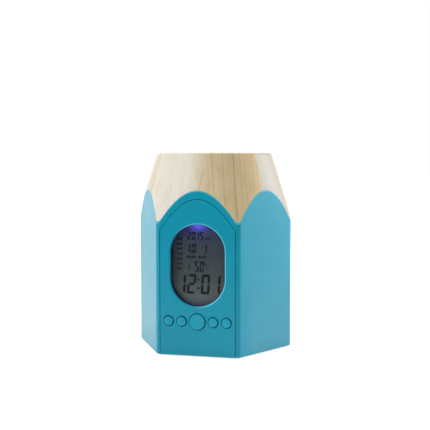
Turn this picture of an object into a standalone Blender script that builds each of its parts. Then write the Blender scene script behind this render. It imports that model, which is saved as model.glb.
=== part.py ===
"""Desk pen holder shaped like the end of a hexagonal pencil, with a clock in its front face.

Metres, +Z up. The clock faces -Y. The origin lies on the surface that the feet stand on,
under the middle of the hexagon. A depth is measured from the front face towards +Y.
"""

import math

import bmesh
import bpy
from mathutils import Matrix, Vector

# Driving sizes of the whole form
HEX_SIDE = 0.0500
CORNER_RADIUS = 0.0028
SHELL_WALL = 0.0024
RIM_HEIGHT = 0.1209
RIM_SETBACK = 0.0071
CONE_SLOPE_SHARE = 0.318
FOOT_STAND = 0.0008

# Clearances shared by all pieces
GAP = 0.0003
OVERRUN = 0.0020
MERGE = 0.00001

# Angles
HALF_TURN = math.pi
QUARTER_TURN = HALF_TURN / 2
SIXTH = HALF_TURN / 3
HALF_SIXTH = SIXTH / 2
FRONT = -QUARTER_TURN
UPRIGHT = (QUARTER_TURN, 0, 0)
BACKWARD = (-QUARTER_TURN, 0, 0)
ROUND_PROFILE_SHARE = 0.5

# Places that several pieces share
APOTHEM = HEX_SIDE * math.cos(HALF_SIXTH)
SHELL_BOTTOM = FOOT_STAND
RIM_TOP = SHELL_BOTTOM + RIM_HEIGHT
RIM_RADIUS = APOTHEM - RIM_SETBACK
INNER_APOTHEM = APOTHEM - SHELL_WALL
SCALLOP_PEAK = RIM_TOP - RIM_SETBACK / CONE_SLOPE_SHARE

# Base plate and battery tray
BASE_INSET = 0.0006
BASE_THICKNESS = 0.0026
BASE_BOTTOM = SHELL_BOTTOM + BASE_INSET
BASE_TOP = BASE_BOTTOM + BASE_THICKNESS
BASE_APOTHEM = INNER_APOTHEM - GAP
TRAY_WALL = 0.0018
TRAY_ROOF = 0.0016

# AAA cell, laid across the base
CELL_COUNT = 3
CELL_RADIUS = 0.00525
CELL_LENGTH = 0.0445
CELL_SPACING = 0.0007
CELL_NUB_RADIUS = 0.0019
CELL_NUB_LENGTH = 0.0010
CELL_EDGE = 0.0006
CELL_PLAY = 0.0006
CELL_PITCH = 2 * CELL_RADIUS + CELL_SPACING

# Battery contacts
SPRING_LENGTH = 0.0050
SPRING_RADIUS = 0.0026
SPRING_WIRE = 0.0003
SPRING_TURNS = 4
SPRING_STEPS = 8
CONTACT_THICKNESS = 0.0004
CONTACT_SIDE = 0.0080

# Battery door
DOOR_THICKNESS = 0.0024
DOOR_LEDGE = 0.0011
HINGE_PIN_RADIUS = 0.0006
HINGE_PIN_LENGTH = 0.0010
LATCH_WIDTH = 0.0080
LATCH_REACH = 0.0011
LATCH_THICKNESS = 0.0012
THUMB_RADIUS = 0.0055
THUMB_DEPTH = 0.0010
DOOR_RIB_HEIGHT = 0.0008
DOOR_RIB_WIDTH = 0.0012

# Places that follow from the tray
CAVITY_HALF_LENGTH = (CELL_LENGTH + CONTACT_THICKNESS + SPRING_LENGTH + 4 * GAP) / 2
CAVITY_HALF_WIDTH = CELL_PITCH * (CELL_COUNT - 1) / 2 + CELL_RADIUS + CELL_PLAY
DOOR_HALF_LENGTH = CAVITY_HALF_LENGTH + DOOR_LEDGE - GAP
DOOR_HALF_WIDTH = CAVITY_HALF_WIDTH + DOOR_LEDGE - GAP
DOOR_TOP = BASE_BOTTOM + DOOR_THICKNESS
CELL_AXIS = DOOR_TOP + DOOR_RIB_HEIGHT + GAP + CELL_RADIUS
CAVITY_TOP = CELL_AXIS + CELL_RADIUS + GAP
TRAY_TOP = CAVITY_TOP + TRAY_ROOF
TRAY_HALF_LENGTH = CAVITY_HALF_LENGTH + TRAY_WALL
TRAY_HALF_WIDTH = CAVITY_HALF_WIDTH + TRAY_WALL
HINGE_Y = DOOR_HALF_WIDTH - DOOR_THICKNESS / 2
HINGE_Z = BASE_BOTTOM + DOOR_THICKNESS / 2

# Front panel, let into the front face
PANEL_STRIP = 0.0022
PANEL_DROP = 0.0054
PANEL_SLOPE_SHARE = 0.3065
PANEL_GROOVE = 0.00035
PANEL_EDGE = 0.0003
PANEL_BORDER = 0.0010
PANEL_THICKNESS = 0.0024
PANEL_LEDGE = 0.0015
OPENING_BOTTOM = 0.0060
PANEL_HALF = HEX_SIDE / 2 - PANEL_STRIP
PANEL_PEAK = SCALLOP_PEAK - PANEL_DROP
REBATE_DEPTH = PANEL_BORDER + GAP

# Window in the panel
WINDOW_SIDE = 0.0062
WINDOW_TOP_MARGIN = 0.0146
WINDOW_BOTTOM_HEIGHT = 0.02965
WINDOW_EDGE = 0.0005
WINDOW_HALF = PANEL_HALF - WINDOW_SIDE
WINDOW_BOTTOM = SHELL_BOTTOM + WINDOW_BOTTOM_HEIGHT
WINDOW_TOP = PANEL_PEAK - WINDOW_TOP_MARGIN

# Button row
BUTTON_ROW_HEIGHT = 0.0206
BUTTON_ROW_MARGIN = 0.0024
BUTTON_RADIUS_SHARE = 0.1324
BUTTON_CENTRE_SHARE = 0.2255
BUTTON_INNER_SHARE = 0.474
BUTTON_RISE = 0.0010
BUTTON_SHOULDER = 0.0003
BUTTON_SIDE_GAP = 0.00035
BUTTON_HOLE_EDGE = 0.0002
BUTTON_FLANGE = 0.0008
BUTTON_FLANGE_THICKNESS = 0.0008
BUTTON_STEM_RADIUS = 0.0015
BUTTON_TRAVEL = 0.0006
BUTTON_Z = SHELL_BOTTOM + BUTTON_ROW_HEIGHT
BUTTON_ROW_HALF = PANEL_HALF - BUTTON_ROW_MARGIN
BUTTON_RADIUS = BUTTON_ROW_HALF * BUTTON_RADIUS_SHARE
BUTTON_CENTRE_RADIUS = BUTTON_ROW_HALF * BUTTON_CENTRE_SHARE
BUTTON_INNER_X = BUTTON_ROW_HALF * BUTTON_INNER_SHARE
BUTTON_OUTER_X = BUTTON_ROW_HALF - BUTTON_RADIUS

# Display module, front to back
LENS_MARGIN = 0.0006
LENS_THICKNESS = 0.0009
BEZEL_WEB = 0.0007
BEZEL_WALL = 0.0009
LCD_MARGIN = 0.0010
LCD_THICKNESS = 0.0020
GUIDE_THICKNESS = 0.0028
BOARD_THICKNESS = 0.0014
LENS_FRONT = PANEL_THICKNESS + GAP
BEZEL_FRONT = LENS_FRONT
WEB_FRONT = LENS_FRONT + LENS_THICKNESS + GAP
WEB_BACK = WEB_FRONT + BEZEL_WEB
LCD_FRONT = WEB_BACK + GAP
LCD_BACK = LCD_FRONT + LCD_THICKNESS
GUIDE_FRONT = LCD_BACK + GAP
GUIDE_BACK = GUIDE_FRONT + GUIDE_THICKNESS
BOARD_FRONT = GUIDE_BACK + GAP
BOARD_BACK = BOARD_FRONT + BOARD_THICKNESS
LCD_HALF = WINDOW_HALF + LCD_MARGIN
LCD_BOTTOM = WINDOW_BOTTOM - LCD_MARGIN
LCD_TOP = WINDOW_TOP + LCD_MARGIN
BEZEL_HALF = LCD_HALF + GAP + BEZEL_WALL
BEZEL_BOTTOM = LCD_BOTTOM - GAP - BEZEL_WALL
BEZEL_TOP = LCD_TOP + GAP + BEZEL_WALL

# Zebra strip and backlight
ZEBRA_HEIGHT = 0.0020
ZEBRA_END = 0.0025
LED_HALF_WIDTH = 0.0018
LED_HEIGHT = 0.0028
LED_THICKNESS = 0.0022
LED_EDGE = 0.0003

# Circuit board and its screws
BOARD_SIDE = 0.0004
BOARD_BOTTOM_RISE = 0.0036
BOARD_SHOULDER_DROP = 0.0078
BOARD_TOP_RISE = 0.0052
BOARD_TOP_HALF = 0.0118
BOARD_HALF = PANEL_HALF - PANEL_LEDGE - BOARD_SIDE
BOARD_BOTTOM = SHELL_BOTTOM + OPENING_BOTTOM + BOARD_BOTTOM_RISE
BOARD_TOP = BEZEL_TOP + BOARD_TOP_RISE
BOARD_SHOULDER = BEZEL_TOP - BOARD_SHOULDER_DROP
BOARD_SCREW_RADIUS = 0.0008
BOARD_SCREW_LENGTH = 0.0060
BOARD_SCREW_HEAD_RADIUS = 0.0018
BOARD_SCREW_HEAD_HEIGHT = 0.0012
BOARD_BOSS_RADIUS = 0.0021
BOARD_SCREW_TOP_X = 0.0086
BOARD_SCREW_TOP_DROP = 0.0023
BOARD_SCREW_SIDE = 0.0025
BOARD_SCREW_RISE = 0.0026

# Tact switches
SWITCH_SIDE = 0.0060
SWITCH_HEIGHT = 0.0034
SWITCH_BORE_DEPTH = 0.0022
PLUNGER_RADIUS = 0.0017
PLUNGER_REACH = 0.0015
SWITCH_FRONT = BOARD_FRONT - GAP - SWITCH_HEIGHT
PLUNGER_FRONT = SWITCH_FRONT - PLUNGER_REACH
PLUNGER_BACK = SWITCH_FRONT + SWITCH_BORE_DEPTH - BUTTON_TRAVEL - GAP
STEM_BACK = PLUNGER_FRONT - GAP

# Parts on the back of the board
CHIP_RADIUS = 0.0060
CHIP_HEIGHT = 0.0015
CHIP_RISE = 0.0160
CRYSTAL_RADIUS = 0.0010
CRYSTAL_LENGTH = 0.0060
CRYSTAL_X = 0.0105
BUZZER_RADIUS = 0.0055
BUZZER_HEIGHT = 0.0034
BUZZER_HOLE_RADIUS = 0.0010
BUZZER_X = 0.0085
BUZZER_DROP = 0.0010
THERMISTOR_RADIUS = 0.0011
THERMISTOR_X = -0.0120
THERMISTOR_RISE = 0.0080

# Panel hooks behind the casing
HOOK_THICKNESS = 0.0011
HOOK_BARB = 0.0009
HOOK_WIDTH = 0.0050
HOOK_LENGTH = 0.0018
HOOK_LOW_RISE = 0.0060
HOOK_HIGH_DROP = 0.0130

# Screw posts and screws of the base
POST_RADIUS = 0.0040
POST_INSET = 0.0042
POST_HEIGHT = 0.0150
BASE_SCREW_RADIUS = 0.0011
BASE_SCREW_LENGTH = 0.0090
BASE_SCREW_HEAD_RADIUS = 0.0024
BASE_SCREW_HEAD_HEIGHT = 0.0012
POST_ANGLES = [0, SIXTH, 2 * SIXTH, 3 * SIXTH]
POST_RING = INNER_APOTHEM / math.cos(HALF_SIXTH) - POST_INSET

# Rubber feet
FOOT_RADIUS = 0.0038
FOOT_RECESS = 0.0008
FOOT_ROUND = 0.0004
FOOT_DOOR_MARGIN = 0.0012
FOOT_SIDE_MARGIN = 0.0010
FOOT_Y = DOOR_HALF_WIDTH + FOOT_DOOR_MARGIN + FOOT_RADIUS
FOOT_REACH = BASE_APOTHEM - FOOT_SIDE_MARGIN - FOOT_RADIUS
FOOT_X = (FOOT_REACH - FOOT_Y * math.sin(HALF_SIXTH)) / math.cos(HALF_SIXTH)

# Pen cup
CUP_WALL = 0.0018
CUP_FLOOR = 0.0020
CUP_FLANGE = 0.0020
CUP_FLANGE_STEP = 0.0013
CUP_CORNER = 0.0025
CUP_LIP_ROUND = 0.0005
CUP_MODULE_GAP = 0.0017
CUP_BOTTOM = TRAY_TOP + GAP

# Wood collar
COLLAR_WALL = 0.0024
COLLAR_LEDGE_THICKNESS = 0.0022
COLLAR_SKIRT = 0.0018
COLLAR_SKIRT_DEPTH = 0.0070
COLLAR_BAY_SIDE = 0.0006
CUP_FLANGE_RADIUS = RIM_RADIUS - COLLAR_WALL - GAP
CUP_TOP_RADIUS = CUP_FLANGE_RADIUS - CUP_FLANGE_STEP
CUP_SHOULDER = RIM_TOP - CUP_FLANGE
LEDGE_RADIUS = CUP_TOP_RADIUS + GAP
LEDGE_TOP = CUP_SHOULDER - GAP

# Facet counts
CORNER_STEPS = 4
FLAT_STEPS = 12
CONE_STEPS = 72
CUP_STEPS = 48
ROUND_STEPS = 20
SMALL_STEPS = 10
ARCH_STEPS = 20
DOME_STEPS = 4
SPRING_SIDES = 1


def remove_all():
    """Empty the scene before the model is made."""
    for obj in list(bpy.data.objects):
        bpy.data.objects.remove(obj, do_unlink=True)


def new_collection(name):
    made = bpy.data.collections.new(name)
    bpy.context.scene.collection.children.link(made)
    return made


def new_material(name, colour, roughness, metallic=0.0):
    made = bpy.data.materials.new(name)
    made.use_nodes = True
    shader = made.node_tree.nodes["Principled BSDF"]
    shader.inputs["Base Color"].default_value = (*colour, 1.0)
    shader.inputs["Roughness"].default_value = roughness
    shader.inputs["Metallic"].default_value = metallic
    made.diffuse_color = (*colour, 1.0)
    return made


class Stock:
    """The collections that finished pieces and cutters go to, and the materials."""

    def __init__(self):
        self.pieces = new_collection("pen_holder_clock")
        self.cutters = new_collection("cutters")
        self.blue = new_material("casing_blue", (0.02, 0.33, 0.45), 0.42)
        self.wood = new_material("collar_wood", (0.72, 0.58, 0.38), 0.55)
        self.dark = new_material("dark_plastic", (0.02, 0.02, 0.03), 0.5)
        self.clear = new_material("clear_lens", (0.80, 0.85, 0.88), 0.05)
        self.glass = new_material("display_glass", (0.10, 0.11, 0.12), 0.15)
        self.milky = new_material("light_guide_plastic", (0.85, 0.85, 0.90), 0.3)
        self.board = new_material("board_green", (0.02, 0.20, 0.07), 0.45)
        self.rubber = new_material("rubber_grey", (0.08, 0.08, 0.08), 0.8)
        self.steel = new_material("steel", (0.60, 0.60, 0.62), 0.3, 1.0)
        self.cell = new_material("cell_jacket", (0.12, 0.30, 0.16), 0.35)


def finished(stock, obj, material, smooth_angle=None):
    """Put a piece in the object's collection with its material and shading."""
    stock.pieces.objects.link(obj)
    obj.data.materials.clear()
    obj.data.materials.append(material)
    if smooth_angle is not None:
        obj.data.shade_smooth()
        obj.data.set_sharp_from_angle(angle=smooth_angle)
    return obj


def as_cutter(stock, obj):
    """Keep a helper shape out of the model."""
    stock.cutters.objects.link(obj)
    obj.hide_render = True
    obj.display_type = "WIRE"
    return obj


def from_bmesh(name, shape):
    mesh = bpy.data.meshes.new(name)
    bmesh.ops.recalc_face_normals(shape, faces=shape.faces)
    shape.to_mesh(mesh)
    shape.free()
    return bpy.data.objects.new(name, mesh)


def boolean(obj, other, operation="DIFFERENCE", solver="EXACT"):
    step = obj.modifiers.new(other.name, "BOOLEAN")
    step.operation = operation
    step.solver = solver
    step.object = other
    return obj


def bevel(obj, width, segments, angle=HALF_SIXTH):
    step = obj.modifiers.new("edges", "BEVEL")
    step.width = width
    step.segments = segments
    step.limit_method = "ANGLE"
    step.angle_limit = angle
    return obj


def box(name, low, high):
    """A box between two corners."""
    shape = bmesh.new()
    bmesh.ops.create_cube(shape, size=1)
    size = [h - l for l, h in zip(low, high)]
    middle = [(h + l) / 2 for l, h in zip(low, high)]
    bmesh.ops.transform(
        shape, matrix=Matrix.Translation(middle) @ Matrix.Diagonal((*size, 1)), verts=shape.verts
    )
    return from_bmesh(name, shape)


def hexagon(name, apothem, low, high, capped, corner=0.0):
    """A six-sided prism with one face towards the front, its upright edges rounded if asked."""
    shape = bmesh.new()
    radius = apothem / math.cos(HALF_SIXTH)
    place = Matrix.Translation((0, 0, (low + high) / 2)) @ Matrix.Rotation(HALF_SIXTH, 4, "Z")
    bmesh.ops.create_cone(
        shape,
        cap_ends=capped,
        segments=6,
        radius1=radius,
        radius2=radius,
        depth=high - low,
        matrix=place,
    )
    if corner:
        middle = (low + high) / 2
        upright = [e for e in shape.edges if (e.verts[0].co.z - middle) * (e.verts[1].co.z - middle) < 0]
        bmesh.ops.bevel(
            shape,
            geom=upright,
            offset=corner * math.tan(HALF_SIXTH),
            segments=CORNER_STEPS,
            profile=ROUND_PROFILE_SHARE,
            affect="EDGES",
        )
    return from_bmesh(name, shape)


def outline_curve(name, points, thickness):
    """A flat outline with a thickness, lying in its own XY plane."""
    curve = bpy.data.curves.new(name, "CURVE")
    curve.dimensions = "2D"
    curve.fill_mode = "BOTH"
    curve.extrude = thickness / 2
    line = curve.splines.new("POLY")
    line.points.add(len(points) - 1)
    for point, (x, y) in zip(line.points, points):
        point.co = (x, y, 0, 1)
    line.use_cyclic_u = True
    return bpy.data.objects.new(name, curve)


def solid_of_curve(curve):
    """The curve's evaluated mesh with its caps welded, in place of the curve."""
    bpy.context.scene.collection.objects.link(curve)
    bpy.context.view_layer.update()
    graph = bpy.context.evaluated_depsgraph_get()
    mesh = bpy.data.meshes.new_from_object(curve.evaluated_get(graph))
    shape = bmesh.new()
    shape.from_mesh(mesh)
    bmesh.ops.remove_doubles(shape, verts=shape.verts, dist=MERGE)
    bmesh.ops.recalc_face_normals(shape, faces=shape.faces)
    shape.to_mesh(mesh)
    shape.free()
    made = bpy.data.objects.new(curve.name, mesh)
    made.matrix_world = curve.matrix_world.copy()
    name = curve.name
    bpy.data.objects.remove(curve, do_unlink=True)
    made.name = name
    return made


def front_plate(name, points, near, far):
    """An upright plate whose outline is seen from the front, between two depths."""
    curve = outline_curve(name, points, far - near)
    curve.location = (0, -APOTHEM + (near + far) / 2, 0)
    curve.rotation_euler = UPRIGHT
    return solid_of_curve(curve)


def floor_plate(name, points, low, high):
    """A level plate whose outline is seen from above, between two heights."""
    curve = outline_curve(name, points, high - low)
    curve.location = (0, 0, (low + high) / 2)
    return solid_of_curve(curve)


def turned(name, profile, steps, closed=False):
    """A profile of (radius, height) points turned about the piece's own Z axis."""
    mesh = bpy.data.meshes.new(name)
    points = [(radius, 0, height) for radius, height in profile]
    edges = [(i, i + 1) for i in range(len(points) - 1)]
    if closed:
        edges.append((len(points) - 1, 0))
    mesh.from_pydata(points, edges, [])
    made = bpy.data.objects.new(name, mesh)
    turn = made.modifiers.new("turn", "SCREW")
    turn.steps = steps
    turn.render_steps = steps
    turn.use_merge_vertices = True
    turn.merge_threshold = MERGE
    turn.use_smooth_shade = True
    return made


def turned_rod(name, radius, low, high, steps, edge=0.0):
    """A round rod with small chamfers at both ends."""
    if edge:
        profile = [(0, high), (radius - edge, high), (radius, high - edge), (radius, low + edge)]
        profile += [(radius - edge, low), (0, low)]
    else:
        profile = [(0, high), (radius, high), (radius, low), (0, low)]
    return turned(name, profile, steps)


def facing_front(obj, x, z):
    """Turn a piece so that its own +Z points out of the front face."""
    obj.location = (x, -APOTHEM, z)
    obj.rotation_euler = UPRIGHT
    return obj


def joined(name, objs):
    """One mesh from several that don't touch, each in its place, for use as a cutter or in a union."""
    shape = bmesh.new()
    for obj in objs:
        bpy.context.scene.collection.objects.link(obj)
    bpy.context.view_layer.update()
    graph = bpy.context.evaluated_depsgraph_get()
    for obj in objs:
        mesh = bpy.data.meshes.new_from_object(obj.evaluated_get(graph))
        mesh.transform(obj.matrix_world)
        shape.from_mesh(mesh)
        bpy.data.meshes.remove(mesh)
    for obj in objs:
        bpy.data.objects.remove(obj, do_unlink=True)
    return from_bmesh(name, shape)


def loft(name, rings):
    """A closed solid through rings of as many points each, capped at both ends."""
    shape = bmesh.new()
    rows = [[shape.verts.new(point) for point in ring] for ring in rings]
    count = len(rows[0])
    for first, second in zip(rows, rows[1:]):
        for i in range(count):
            j = (i + 1) % count
            shape.faces.new((first[i], first[j], second[j], second[i]))
    shape.faces.new(list(reversed(rows[0])))
    shape.faces.new(rows[-1])
    return from_bmesh(name, shape)


def closed_loft(name, rings):
    """A ring-shaped solid: its last section joins its first."""
    shape = bmesh.new()
    rows = [[shape.verts.new(point) for point in ring] for ring in rings]
    count = len(rows[0])
    for first, second in zip(rows, rows[1:] + rows[:1]):
        for i in range(count):
            j = (i + 1) % count
            shape.faces.new((first[i], second[i], second[j]))
            shape.faces.new((first[i], second[j], first[j]))
    return from_bmesh(name, shape)


def at_depth(points, depth):
    """Points seen from the front, placed at a depth."""
    return [(x, -APOTHEM + depth, z) for x, z in points]


def arc(centre_x, centre_y, radius, start, end, steps):
    """Points along an arc, both ends included."""
    turns = [start + (end - start) * i / steps for i in range(steps + 1)]
    return [(centre_x + radius * math.cos(t), centre_y + radius * math.sin(t)) for t in turns]


def outline_radius(angle, apothem, corner):
    """Distance from the axis to the rounded hexagon in one direction."""
    off_face = (angle - FRONT + HALF_SIXTH) % SIXTH - HALF_SIXTH
    off_corner = HALF_SIXTH - abs(off_face)
    centre = (apothem - corner) / math.cos(HALF_SIXTH)
    touch = math.atan2(corner * math.sin(HALF_SIXTH), centre + corner * math.cos(HALF_SIXTH))
    if off_corner < touch:
        reach = corner**2 - (centre * math.sin(off_corner)) ** 2
        return centre * math.cos(off_corner) + math.sqrt(reach)
    return apothem / math.cos(off_face)


def scallop_height(angle):
    """Height at which the cone meets the outside of the casing in one direction."""
    radius = outline_radius(angle, APOTHEM, CORNER_RADIUS)
    return RIM_TOP - (radius - RIM_RADIUS) / CONE_SLOPE_SHARE


def crown_angles():
    """Directions for the scallops: even steps along each flat and round each corner."""
    flat_end = math.atan2(HEX_SIDE / 2 - CORNER_RADIUS * math.tan(HALF_SIXTH), APOTHEM)
    angles = []
    for face in range(6):
        middle = FRONT + face * SIXTH
        for i in range(FLAT_STEPS):
            share = 2 * i / FLAT_STEPS - 1
            angles.append(middle + math.atan(share * math.tan(flat_end)))
        for i in range(CORNER_STEPS):
            angles.append(middle + flat_end + 2 * (HALF_SIXTH - flat_end) * i / CORNER_STEPS)
    return angles


def scallop_ring(name, rise, level):
    """A ring that holds the casing's wall, from the scalloped edge up or down to one level."""
    rings = []
    for angle in crown_angles():
        near = outline_radius(angle, INNER_APOTHEM - GAP, CORNER_RADIUS - SHELL_WALL)
        far = outline_radius(angle, APOTHEM, CORNER_RADIUS) + OVERRUN
        edge = scallop_height(angle) + rise
        across, along = math.cos(angle), math.sin(angle)
        corners = [(near, edge), (far, edge), (far, level), (near, level)]
        rings.append([(r * across, r * along, z) for r, z in corners])
    return closed_loft(name, rings)


def arch_outline(grow, bottom):
    """The panel's outline seen from the front, grown or shrunk, from its bottom edge up."""
    half = PANEL_HALF + grow
    peak = PANEL_PEAK + grow
    points = [(-half, bottom), (half, bottom)]
    for i in range(ARCH_STEPS + 1):
        x = half * (1 - 2 * i / ARCH_STEPS)
        fall = (math.hypot(APOTHEM, x) - APOTHEM) / PANEL_SLOPE_SHARE
        points.append((x, peak - fall))
    return points


def stadium(grow):
    """The window's outline with round ends, grown or shrunk."""
    round_end = min(WINDOW_HALF, (WINDOW_TOP - WINDOW_BOTTOM) / 2)
    side = WINDOW_HALF - round_end
    upper = WINDOW_TOP - round_end
    lower = WINDOW_BOTTOM + round_end
    centres = [(side, upper), (-side, upper), (-side, lower), (side, lower)]
    points = []
    for i, (x, z) in enumerate(centres):
        start = i * QUARTER_TURN
        for point in arc(x, z, round_end + grow, start, start + QUARTER_TURN, ARCH_STEPS // 2):
            if not points or math.dist(points[-1], point) > MERGE:
                points.append(point)
    return points


def rectangle(half_width, low, high):
    return [(-half_width, low), (half_width, low), (half_width, high), (-half_width, high)]


def button_places():
    """Name, sideways place and cap radius of each button, from left to right."""
    return [
        ("left_outer", -BUTTON_OUTER_X, BUTTON_RADIUS),
        ("left_inner", -BUTTON_INNER_X, BUTTON_RADIUS),
        ("centre", 0, BUTTON_CENTRE_RADIUS),
        ("right_inner", BUTTON_INNER_X, BUTTON_RADIUS),
        ("right_outer", BUTTON_OUTER_X, BUTTON_RADIUS),
    ]


def board_screw_places():
    """Sideways place and height of the four screws that hold the board to the panel."""
    top = BOARD_TOP - BOARD_SCREW_TOP_DROP
    side = BOARD_HALF - BOARD_SCREW_SIDE
    low = BOARD_BOTTOM + BOARD_SCREW_RISE
    return [(-side, low), (side, low), (BOARD_SCREW_TOP_X, top), (-BOARD_SCREW_TOP_X, top)]


def post_places():
    """Where the base screws go up into the casing."""
    return [(POST_RING * math.cos(a), POST_RING * math.sin(a)) for a in POST_ANGLES]


def foot_places():
    return [(x, y) for x in (-FOOT_X, FOOT_X) for y in (-FOOT_Y, FOOT_Y)]


def cell_places():
    """Sideways place of each cell's row, and the end that its plus pole points to."""
    first = -CELL_PITCH * (CELL_COUNT - 1) / 2
    return [(first + i * CELL_PITCH, 1 if i % 2 == 0 else -1) for i in range(CELL_COUNT)]


def make_body_shell(stock):
    """Hexagonal casing with its scalloped edge, the panel's seat and four screw posts."""
    shell = hexagon("body_shell", APOTHEM, SHELL_BOTTOM, RIM_TOP, False, CORNER_RADIUS)
    wall = shell.modifiers.new("wall", "SOLIDIFY")
    wall.thickness = SHELL_WALL
    wall.offset = -1
    wall.use_even_offset = True

    below = SHELL_BOTTOM - OVERRUN
    seat = loft(
        "panel_seat",
        [
            at_depth(arch_outline(PANEL_GROOVE + 2 * PANEL_EDGE, below), -PANEL_EDGE),
            at_depth(arch_outline(PANEL_GROOVE, below), PANEL_EDGE),
            at_depth(arch_outline(PANEL_GROOVE, below), REBATE_DEPTH),
        ],
    )
    boolean(shell, as_cutter(stock, seat))
    bottom = SHELL_BOTTOM + OPENING_BOTTOM
    opening = front_plate(
        "panel_opening", arch_outline(-PANEL_LEDGE, bottom), PANEL_BORDER, SHELL_WALL + OVERRUN
    )
    boolean(shell, as_cutter(stock, opening))

    low = BASE_TOP + GAP
    high = low + POST_HEIGHT
    posts = []
    holes = []
    for i, (x, y) in enumerate(post_places()):
        post = turned_rod(f"post_{i}", POST_RADIUS, low, high, ROUND_STEPS)
        post.location = (x, y, 0)
        posts.append(post)
        deep = BASE_BOTTOM + BASE_SCREW_LENGTH + 2 * GAP
        hole = turned_rod(f"post_hole_{i}", BASE_SCREW_RADIUS + GAP, low - OVERRUN, deep, SMALL_STEPS)
        hole.location = (x, y, 0)
        holes.append(hole)
    boolean(shell, as_cutter(stock, joined("posts", posts)), "UNION")
    boolean(shell, as_cutter(stock, joined("post_holes", holes)))
    above = as_cutter(stock, scallop_ring("scallops", 0, RIM_TOP + OVERRUN))
    boolean(shell, above, solver="MANIFOLD")
    return finished(stock, shell, stock.blue, HALF_SIXTH)


def make_wood_collar(stock):
    """Round cone cut by the casing's hexagon, with a skirt inside the casing and a ledge for the cup."""
    skirt_low = scallop_height(FRONT + HALF_SIXTH) - COLLAR_SKIRT_DEPTH
    low_radius = RIM_RADIUS + (RIM_TOP - skirt_low) * CONE_SLOPE_SHARE
    profile = [(0, RIM_TOP), (RIM_RADIUS, RIM_TOP), (low_radius, skirt_low), (0, skirt_low)]
    collar = turned("wood_collar", profile, CONE_STEPS)
    block = hexagon(
        "collar_hexagon", APOTHEM, skirt_low - OVERRUN, RIM_TOP + OVERRUN, True, CORNER_RADIUS
    )
    as_cutter(stock, block)
    ledge_low = LEDGE_TOP - COLLAR_LEDGE_THICKNESS
    inner_low = low_radius - COLLAR_WALL
    inner_ledge = RIM_RADIUS + (RIM_TOP - ledge_low) * CONE_SLOPE_SHARE - COLLAR_WALL
    counterbore = CUP_FLANGE_RADIUS + GAP
    bore = turned(
        "collar_bore",
        [
            (0, RIM_TOP + OVERRUN),
            (counterbore, RIM_TOP + OVERRUN),
            (counterbore, LEDGE_TOP),
            (LEDGE_RADIUS, LEDGE_TOP),
            (LEDGE_RADIUS, ledge_low),
            (inner_ledge, ledge_low),
            (inner_low + OVERRUN * CONE_SLOPE_SHARE, skirt_low - OVERRUN),
            (0, skirt_low - OVERRUN),
        ],
        CONE_STEPS,
    )
    inner = hexagon(
        "skirt_hexagon",
        INNER_APOTHEM - GAP - COLLAR_SKIRT,
        skirt_low - 2 * OVERRUN,
        RIM_TOP + 2 * OVERRUN,
        capped=True,
    )
    boolean(bore, as_cutter(stock, inner), "INTERSECT", solver="MANIFOLD")
    boolean(collar, as_cutter(stock, bore), solver="MANIFOLD")
    boolean(collar, block, "INTERSECT", solver="MANIFOLD")
    wall = as_cutter(stock, scallop_ring("casing_wall", GAP, skirt_low - OVERRUN))
    boolean(collar, wall, solver="MANIFOLD")
    bay = front_plate(
        "clock_bay",
        arch_outline(COLLAR_BAY_SIDE, skirt_low - OVERRUN),
        SHELL_WALL - GAP,
        BOARD_BACK + CUP_MODULE_GAP,
    )
    boolean(collar, as_cutter(stock, bay), solver="MANIFOLD")
    return finished(stock, collar, stock.wood, HALF_SIXTH)


def cup_floor_radius():
    """Radius at the cup's floor, on the straight line that passes clear of the board."""
    board_radius = APOTHEM - BOARD_BACK - CUP_MODULE_GAP
    taper = (CUP_TOP_RADIUS - board_radius) / (CUP_SHOULDER - BOARD_TOP)
    return CUP_TOP_RADIUS - taper * (CUP_SHOULDER - CUP_BOTTOM)


def make_pen_cup(stock):
    """Tapered well for the pens, hung by its flange on the collar's ledge."""
    foot = cup_floor_radius()
    lip = CUP_TOP_RADIUS - CUP_WALL
    profile = [
        (0, CUP_BOTTOM + CUP_FLOOR),
        (foot - CUP_WALL - CUP_CORNER, CUP_BOTTOM + CUP_FLOOR),
        (foot - CUP_WALL, CUP_BOTTOM + CUP_FLOOR + CUP_CORNER),
        (lip, RIM_TOP - CUP_LIP_ROUND),
        (lip + CUP_LIP_ROUND, RIM_TOP),
        (CUP_FLANGE_RADIUS - CUP_LIP_ROUND, RIM_TOP),
        (CUP_FLANGE_RADIUS, RIM_TOP - CUP_LIP_ROUND),
        (CUP_FLANGE_RADIUS, CUP_SHOULDER),
        (CUP_TOP_RADIUS, CUP_SHOULDER),
        (foot, CUP_BOTTOM + CUP_CORNER),
        (foot - CUP_CORNER, CUP_BOTTOM),
        (0, CUP_BOTTOM),
    ]
    cup = turned("pen_cup", profile, CUP_STEPS)
    return finished(stock, cup, stock.blue)


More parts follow.
